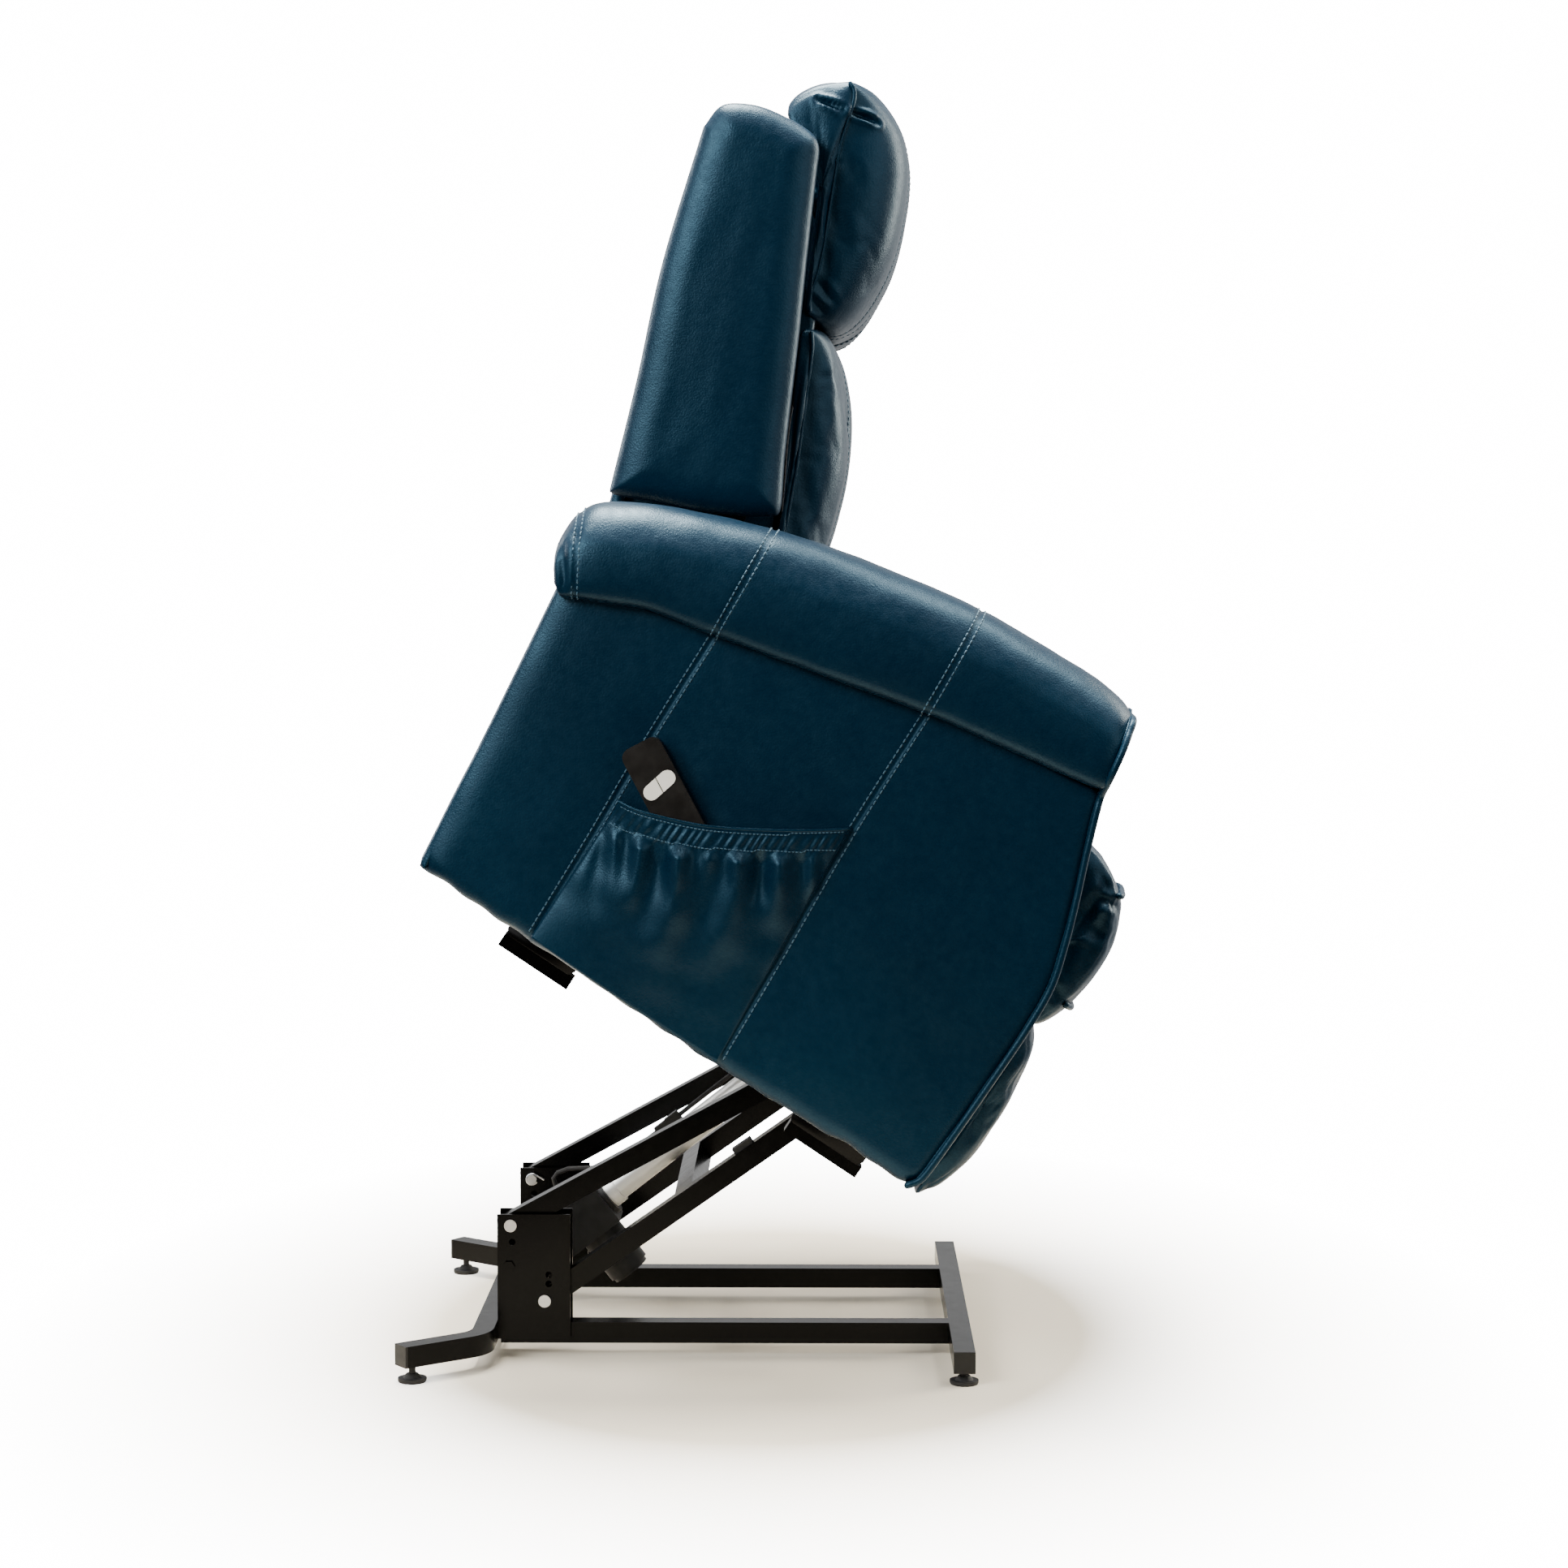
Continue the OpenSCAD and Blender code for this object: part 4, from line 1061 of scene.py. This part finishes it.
def lumbar():
    piece, rings, seams = cushion("lumbar_cover", LUMBAR_FRONT + LUMBAR_REAR,
                                  LUMBAR_WELT + LUMBAR_REAR, BACK_HALF, power=12.0,
                                  crown=0.10, end_bulge=5.0)
    pinned = back_pinned(rings, seams, LUMBAR_REAR)
    relaxed(piece, pinned, pressure=3.0, slack=0.004, frames=14, cap=0.003)
    subdivided(piece)
    soft_detail(piece, 120, 0.9, 71)
    creased(piece, both_sides(LUMBAR_FOLDS, 231))
    front_seams(piece, "lumbar", LUMBAR_FRONT[1:], (140,))
    cover(piece, "lumbar_cushion", "backrest")
    side_welts("lumbar_welts", spline(LUMBAR_WELT, step=6), BACK_HALF + 0.5, "backrest")


PILLOW_FRONT = [(-506, 1097), (-492, 1103), (-470, 1104), (-442, 1096), (-416, 1082), (-392, 1057),
                (-374, 1025), (-358, 987), (-348, 953), (-343, 913), (-343, 873), (-354, 845),
                (-378, 838)]
PILLOW_WELT = [(-502, 1090), (-494, 1086), (-487, 1074), (-482, 1054), (-475, 1030), (-466, 1008),
               (-456, 986), (-445, 962), (-434, 938), (-422, 912), (-412, 884), (-406, 862),
               (-396, 846)]
PILLOW_REAR = [(-402, 846), (-425, 890), (-450, 938), (-474, 985), (-500, 1018), (-534, 1020),
               (-551, 1030), (-550, 1050), (-538, 1071), (-522, 1086)]
PILLOW_TUCKS = [(-482, 1064, -446, 1076, 232, 8.0, 2.8)]
PILLOW_PLEATS = [(-492, 1061, -524, 1054, 240, 8.0, 2.8)]
PILLOW_FOLDS = [  # from (x, z) to (x, z) at y, with depth and width
    (-540, 1014, -474, 1004, 228, 3.0, 3.5), (-462, 1020, -430, 1000, 228, 1.2, 7),
    (-440, 960, -400, 930, 228, 1.2, 8), (-408, 880, -376, 868, 228, 2.0, 5),
    (-400, 858, -372, 852, 228, 2.0, 5), (-420, 920, -396, 880, 228, 1.2, 7)]


def pillow():
    side_rear = [(x + (8 if x < -520 else 0), z - (10 if x < -510 else 0)) for x, z in PILLOW_REAR]
    piece, rings, seams = cushion("pillow_cover", PILLOW_FRONT + PILLOW_REAR,
                                  PILLOW_WELT + side_rear, BACK_HALF, power=10.0,
                                  crown=0.08, end_bulge=9.0)
    pinned = back_pinned(rings, seams, PILLOW_REAR[:6])
    relaxed(piece, pinned, pressure=3.0, slack=0.004, frames=14, cap=0.003)
    subdivided(piece, 2)
    soft_detail(piece, 140, 0.8, 81)
    creased(piece, both_sides(PILLOW_TUCKS, 234) + both_sides(PILLOW_PLEATS, 240)
            + both_sides(PILLOW_FOLDS, 233))
    front_seams(piece, "pillow", PILLOW_FRONT[2:], (55, 125))
    cover(piece, "headrest_pillow", "backrest")
    side_welts("pillow_welts", spline(PILLOW_WELT, step=6), BACK_HALF + 0.5, "backrest")


def seat():
    top = [(203, 497), (160, 500), (110, 496), (40, 486), (-40, 477), (-120, 470), (-190, 466)]
    under = [(-216, 455), (-219, 400), (-216, 342), (-100, 339), (60, 339), (200, 341), (209, 380),
             (210, 440), (209, 478)]
    low = [(x, z - 22) for x, z in top]
    under_side = [(-214, 436)] + under[1:-1] + [(206, 466)]
    piece, rings, seams = cushion("seat_cover", top + under, low + under_side, 270.0, step=8.0,
                                  power=4.0, end_bulge=4.0)
    still = np.flatnonzero(rings.reshape(-1, 3)[:, 2] < 350)
    pinned = np.union1d(ring_indices(rings, seams), still)
    relaxed(piece, pinned, pressure=3.0, slack=0.03, frames=12, cap=0.010)
    subdivided(piece)
    soft_detail(piece, 130, 1.5, 91)
    cover(piece, "seat_cushion", "chair")


KNEE_HALF = 268
KNEE_FRONT = [(236, 514), (262, 506), (287, 486), (304, 458), (315, 428), (318, 396), (316, 362),
              (309, 325), (296, 300)]
KNEE_FOLDS = [  # from (x, z) on the end to (x, z) at y, with depth and width
    (250, 490, 274, 474, 262, 3.0, 5), (262, 468, 286, 462, 250, 4.5, 5),
    (264, 478, 262, 420, 268, 4.0, 6), (262, 420, 276, 372, 266, 3.5, 6),
    (272, 438, 300, 424, 246, 2.2, 8), (268, 352, 290, 344, 256, 2.5, 6),
    (262, 330, 284, 320, 258, 2.5, 5)]


def knee_roll():
    rear = [(270, 297), (240, 298), (219, 304), (218, 370), (218, 440), (219, 500)]
    side = [(232, 504), (253, 496), (274, 476), (289, 451), (299, 425), (303, 396), (301, 364),
            (296, 330), (286, 306)]
    piece, rings, _ = cushion("knee_roll_cover", KNEE_FRONT + rear, side + rear, 264.0,
                              step=6.0, power=5.0, end_bulge=7.0)
    still = np.flatnonzero(rings.reshape(-1, 3)[:, 0] < 224)
    relaxed(piece, still, pressure=2.0, slack=0.015, frames=14, cap=0.005)
    subdivided(piece)
    creased(piece, both_sides(KNEE_FOLDS, KNEE_HALF))
    cover(piece, "knee_roll", "chair")
    lines = []
    y = np.linspace(-KNEE_HALF, KNEE_HALF, 90)
    for x, z in ((291, 484), (315, 338)):
        path = np.stack([x + 0.8 * np.sin(y / 17), y, z + 0.8 * np.cos(y / 23)], axis=1)
        path, way = on_surface(piece, path)
        lines.append(tube(spline(path + 3.0 * way, step=6.0), THICK_WELT, 10))
    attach(leather("knee_roll_welts", *joined(lines)), "chair")


def legrest():
    loop = [(280, 288), (297, 289), (308, 270), (314, 232), (318, 190), (317, 132), (310, 92),
            (302, 70), (292, 62), (280, 64)]
    side = [(280, 280), (289, 279), (298, 264), (303, 230), (306, 190), (305, 134), (300, 98),
            (294, 80), (288, 72), (280, 72)]
    piece, rings, _ = cushion("legrest_cover", loop, side, 258.0, power=6.0, end_bulge=10.0)
    still = np.flatnonzero(rings.reshape(-1, 3)[:, 0] < 283)
    relaxed(piece, still, pressure=2.0, slack=0.006, frames=12, cap=0.004)
    subdivided(piece)
    soft_detail(piece, 100, 0.8, 101)
    cover(piece, "legrest_pad", "legrest")


# ------------------------------------------------------------ back
WING_REAR = [(-471, 542), (-477, 556), (-517, 668), (-566, 795), (-612, 950)]
WING_FRONT = [(-301, 622), (-296, 636), (-327, 692), (-384, 804), (-427, 886), (-477, 983)]
WING_BASE = [(-471, 542), (-458, 545), (-420, 562), (-374, 580), (-330, 603), (-301, 622)]
WING_TOP = [(-612, 950), (-609, 980), (-590, 997), (-559, 1009), (-511, 1014), (-490, 1006),
            (-477, 983)]


def coons(bottom, top, left, right, nu, nv, gather=0.6):
    """Grid inside four side-view curves, closely spaced near them."""
    u, v = (to_the_ends(np.linspace(0, 1, n), gather) for n in (nu, nv))

    def along(line, t):
        fine = spline(line, 400)
        return np.stack([np.interp(t, np.linspace(0, 1, 400), fine[:, k]) for k in (0, 1)], axis=1)

    b, t, l, r = along(bottom, u), along(top, u), along(left, v), along(right, v)
    uu, vv = u[None, :, None], v[:, None, None]
    return ((1 - vv) * b[None] + vv * t[None] + (1 - uu) * l[:, None] + uu * r[:, None]
            - ((1 - uu) * (1 - vv) * b[0] + uu * (1 - vv) * b[-1]
               + (1 - uu) * vv * t[0] + uu * vv * t[-1]))


def rim_distance(points, border):
    """How far each point of a side-view grid is from its border."""
    flat = points.reshape(-1, 2)
    best = np.full(len(flat), 1e9)
    for a, b in zip(border, np.roll(border, -1, axis=0)):
        d = b - a
        t = np.clip((flat - a) @ d / max(d @ d, 1e-9), 0, 1)
        best = np.minimum(best, np.linalg.norm(flat - a - t[:, None] * d, axis=1))
    return best.reshape(points.shape[:2])


def slab_cover(points, border, y_in, y_out, radius, crown):
    """Padded board: two faces that meet at a rounded edge, bowed out by crown."""
    d = rim_distance(points, border)
    round_off = np.sqrt(np.clip(1 - (1 - np.clip(d / radius, 0, 1)) ** 2.0, 0, 1))
    bow = crown * np.clip(d / 90.0, 0, 1) ** 0.6
    middle, half = (y_in + y_out) / 2, (y_out - y_in) / 2
    outer = middle + (half - crown) * round_off + bow
    inner = y_in + 6.0 * (1 - round_off)
    flat = points.reshape(-1, 2)
    front, back = (np.insert(flat, 1, y.ravel(), axis=1) for y in (outer, inner))
    return two_faced(front, back, *points.shape[:2])


def wing(side, label):
    points = coons(WING_BASE, WING_TOP, WING_REAR, WING_FRONT, 56, 110)
    border = np.vstack([points[0], points[1:, -1], points[-1, -2::-1], points[-2:0:-1, 0]])
    verts, faces = slab_cover(points, border, 247.0, 300.0, 40.0, 5.0)
    verts[:, 1] += 0.6 * ripple(verts, 140, 111) + 0.2 * ripple(verts, 45, 112)
    piece = leather("wing_cover_" + label, mirrored(verts, side), faces)
    cover(piece, "wing_" + label, "backrest")


def rounded_bar(name, loop, half, radius=8.0, step=9.0, middle=40, bend=5):
    """Leather over foam: an outline in side view carried across, its two ends rounded."""
    outline = spline(loop, step=step, closed=True)
    centre = outline.mean(axis=0)
    size = np.abs(outline - centre).mean()
    turn = [math.pi / 2 * k / (bend - 1) for k in range(bend)]
    ends = [(half - radius + radius * math.sin(a), 1 - radius * (1 - math.cos(a)) / size)
            for a in turn]
    across = np.linspace(half - radius, radius - half, middle)[1:-1]
    rows = ends[::-1] + [(y, 1.0) for y in across] + [(-y, scale) for y, scale in ends]
    rings = [np.insert(centre + (outline - centre) * scale, 1, y, axis=1) for y, scale in rows]
    return leather(name, *lofted(rings))


BACK_CORE = [  # side view of the foam between the cushions and the outside back
    (-387, 346), (-420, 440), (-452, 534), (-500, 672), (-550, 812), (-594, 950), (-586, 985),
    (-560, 996), (-520, 1000), (-495, 992), (-430, 880), (-406, 864), (-384, 840), (-376, 812),
    (-360, 748), (-300, 636), (-266, 560), (-242, 476), (-240, 410), (-254, 346), (-320, 342)]
BACK_SEAM = 170.0


def build_back():
    cover(rounded_bar("back_body", BACK_CORE, 226.0), "back_core", "backrest")
    points = plain_panel("outside_back", "back_shell", (-399, 338), (-612, 952), -243, 243, 9.0,
                         4.0, "backrest", seams=(BACK_SEAM,))
    parts = []
    normals = surface_normals(points)
    for y in [s * (BACK_SEAM + off) for s in SIDES for off in (-6, 6)]:
        j = int(np.argmin(np.abs(points[5, :, 1] - y)))
        out = -normals[3:-3, j] * np.sign(normals[3:-3, j, :1])
        parts += stitches(points[3:-3, j], out)
    thread("back_stitches", parts, "backrest")
    plain_panel("rear_lower_cover", "rear_lower_panel", (-412, 78), (-437, 279), -282, 282, 9.0,
                3.5, "chair")


# ------------------------------------------------------------ frame details
SKID_WEBS = [  # outlines in side view of the pressed webs that carry the two skids
    [(117, 40), (112, 47), (112, 78), (118, 84), (208, 84), (214, 78), (214, 47), (209, 40)],
    [(-286, 39), (-291, 46), (-291, 78), (-285, 84), (-202, 84), (-196, 78), (-196, 46), (-201, 39)]]
WEB_FACES = (226.0, 229.0)


def skid_webs():
    """Pressed steel plates between the lift frame and the skids."""
    plates = [lofted([[(x, side * y, z) for x, z in outline] for y in WEB_FACES])
              for side in SIDES for outline in SKID_WEBS]
    piece = make("skid_webs", *joined(plates), MAT["steel"], "black_steel")
    mod = piece.modifiers.new("edges", "BEVEL")
    mod.width = 0.8 * MM
    mod.segments = 2
    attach(piece, "chair")


# ------------------------------------------------------------ stage
AIM = (0.0, 0.0, 0.75)
LIGHTS = [  # name, place, target, size in metres, watts and colour
    ("top_softbox", (-0.3, 0.2, 3.8), AIM, (1.4, 1.4), 480, (1, 0.97, 0.92)),
    ("front_top_softbox", (1.5, -0.3, 3.3), AIM, (0.9, 0.9), 78, (1, 0.97, 0.92)),
    ("rear_sheen", (-2.2, -3.3, 0.8), (-0.3, -0.4, 0.7), (0.9, 1.3), 16, (1, 1, 1)),
    ("key_softbox", (-2.8, -2.6, 3.0), AIM, (1.8, 1.8), 150, (1, 1, 1)),
    ("fold_light", (-1.5, -3.0, 2.5), (-0.1, -0.4, 0.6), (0.35, 0.9), 48, (1, 1, 1)),
    ("front_strip", (3.0, 1.2, 1.9), (0, 0, 1.0), (1.2, 2.6), 150, (1, 0.93, 0.82)),
    ("front_fill", (2.6, -2.4, 1.6), (0, 0, 0.9), (1.6, 2.2), 26, (1, 0.99, 0.97)),
    ("rear_strip", (-3.0, 1.6, 2.0), (0, 0, 1.0), (1.0, 2.2), 70, (1, 1, 1))]


def light(name, where, towards, size, power, colour):
    data = bpy.data.lights.new(name, "AREA")
    data.shape = "RECTANGLE"
    data.size, data.size_y = size
    data.energy = power
    data.color = colour
    lamp = bpy.data.objects.new(name, data)
    lamp.location = where
    aim = Vector(towards) - Vector(where)
    lamp.rotation_euler = aim.to_track_quat("-Z", "Y").to_euler()
    bpy.context.scene.collection.objects.link(lamp)


def floor_material():
    material, tree, shader, coord = new_material("studio_floor")
    out = tree.nodes["Material Output"]
    gradient = tree.nodes.new("ShaderNodeTexGradient")
    gradient.gradient_type = "SPHERICAL"
    mapping = tree.nodes.new("ShaderNodeMapping")
    mapping.inputs["Scale"].default_value = (0.95, 0.68, 0.5)
    tree.links.new(coord, mapping.inputs["Vector"])
    tree.links.new(mapping.outputs["Vector"], gradient.inputs["Vector"])
    grain = texture(tree, coord, "ShaderNodeTexNoise", 8.0, Detail=2.0)
    tone = ramp(tree, grain.outputs["Fac"], [(0.3, (0.91, 0.82, 0.65)), (0.7, (0.93, 0.84, 0.67))])
    tree.links.new(tone, shader.inputs["Base Color"])
    shader.inputs["Roughness"].default_value = 0.6
    clear = tree.nodes.new("ShaderNodeBsdfTransparent")
    blend = tree.nodes.new("ShaderNodeMixShader")
    amount = span(tree, gradient.outputs["Fac"], 1.0, 0.0, 0.08, 0.62)
    tree.links.new(amount, blend.inputs["Fac"])
    tree.links.new(shader.outputs["BSDF"], blend.inputs[1])
    tree.links.new(clear.outputs["BSDF"], blend.inputs[2])
    tree.links.new(blend.outputs["Shader"], out.inputs["Surface"])
    return material


def build_stage():
    """Round floor that fades into a white world, and the lights."""
    corners, radius = 96, 2.6
    turns = [2 * math.pi * k / corners for k in range(corners)]
    ring = [(radius * math.cos(a), radius * math.sin(a), 0) for a in turns]
    mesh = bpy.data.meshes.new("studio_floor")
    mesh.from_pydata(ring, [], [tuple(range(corners))])
    floor = bpy.data.objects.new("studio_floor", mesh)
    bpy.context.scene.collection.objects.link(floor)
    mesh.materials.append(floor_material())
    world = bpy.data.worlds.new("studio")
    world.use_nodes = True
    bpy.context.scene.world = world
    tree = world.node_tree
    back = tree.nodes["Background"]
    path = tree.nodes.new("ShaderNodeLightPath")
    place_of = tree.nodes.new("ShaderNodeTexCoord")
    split = tree.nodes.new("ShaderNodeSeparateXYZ")
    tree.links.new(place_of.outputs["Generated"], split.inputs["Vector"])
    around = span(tree, split.outputs["Y"], 0.025, 1.0, -0.4, 0.9)
    seen = tree.nodes.new("ShaderNodeMix")
    tree.links.new(path.outputs["Is Camera Ray"], seen.inputs[0])
    tree.links.new(around, seen.inputs[2])
    seen.inputs[3].default_value = 16.0
    back.inputs["Color"].default_value = (1, 1, 1, 1)
    tree.links.new(seen.outputs[0], back.inputs["Strength"])
    for row in LIGHTS:
        light(*row)


# ------------------------------------------------------------ build
build_arm(-1, "right")
build_arm(1, "left")
pocket()
skid_webs()
build_back()
wing(-1, "right")
wing(1, "left")
lumbar()
pillow()
seat()
knee_roll()
legrest()
build_stage()
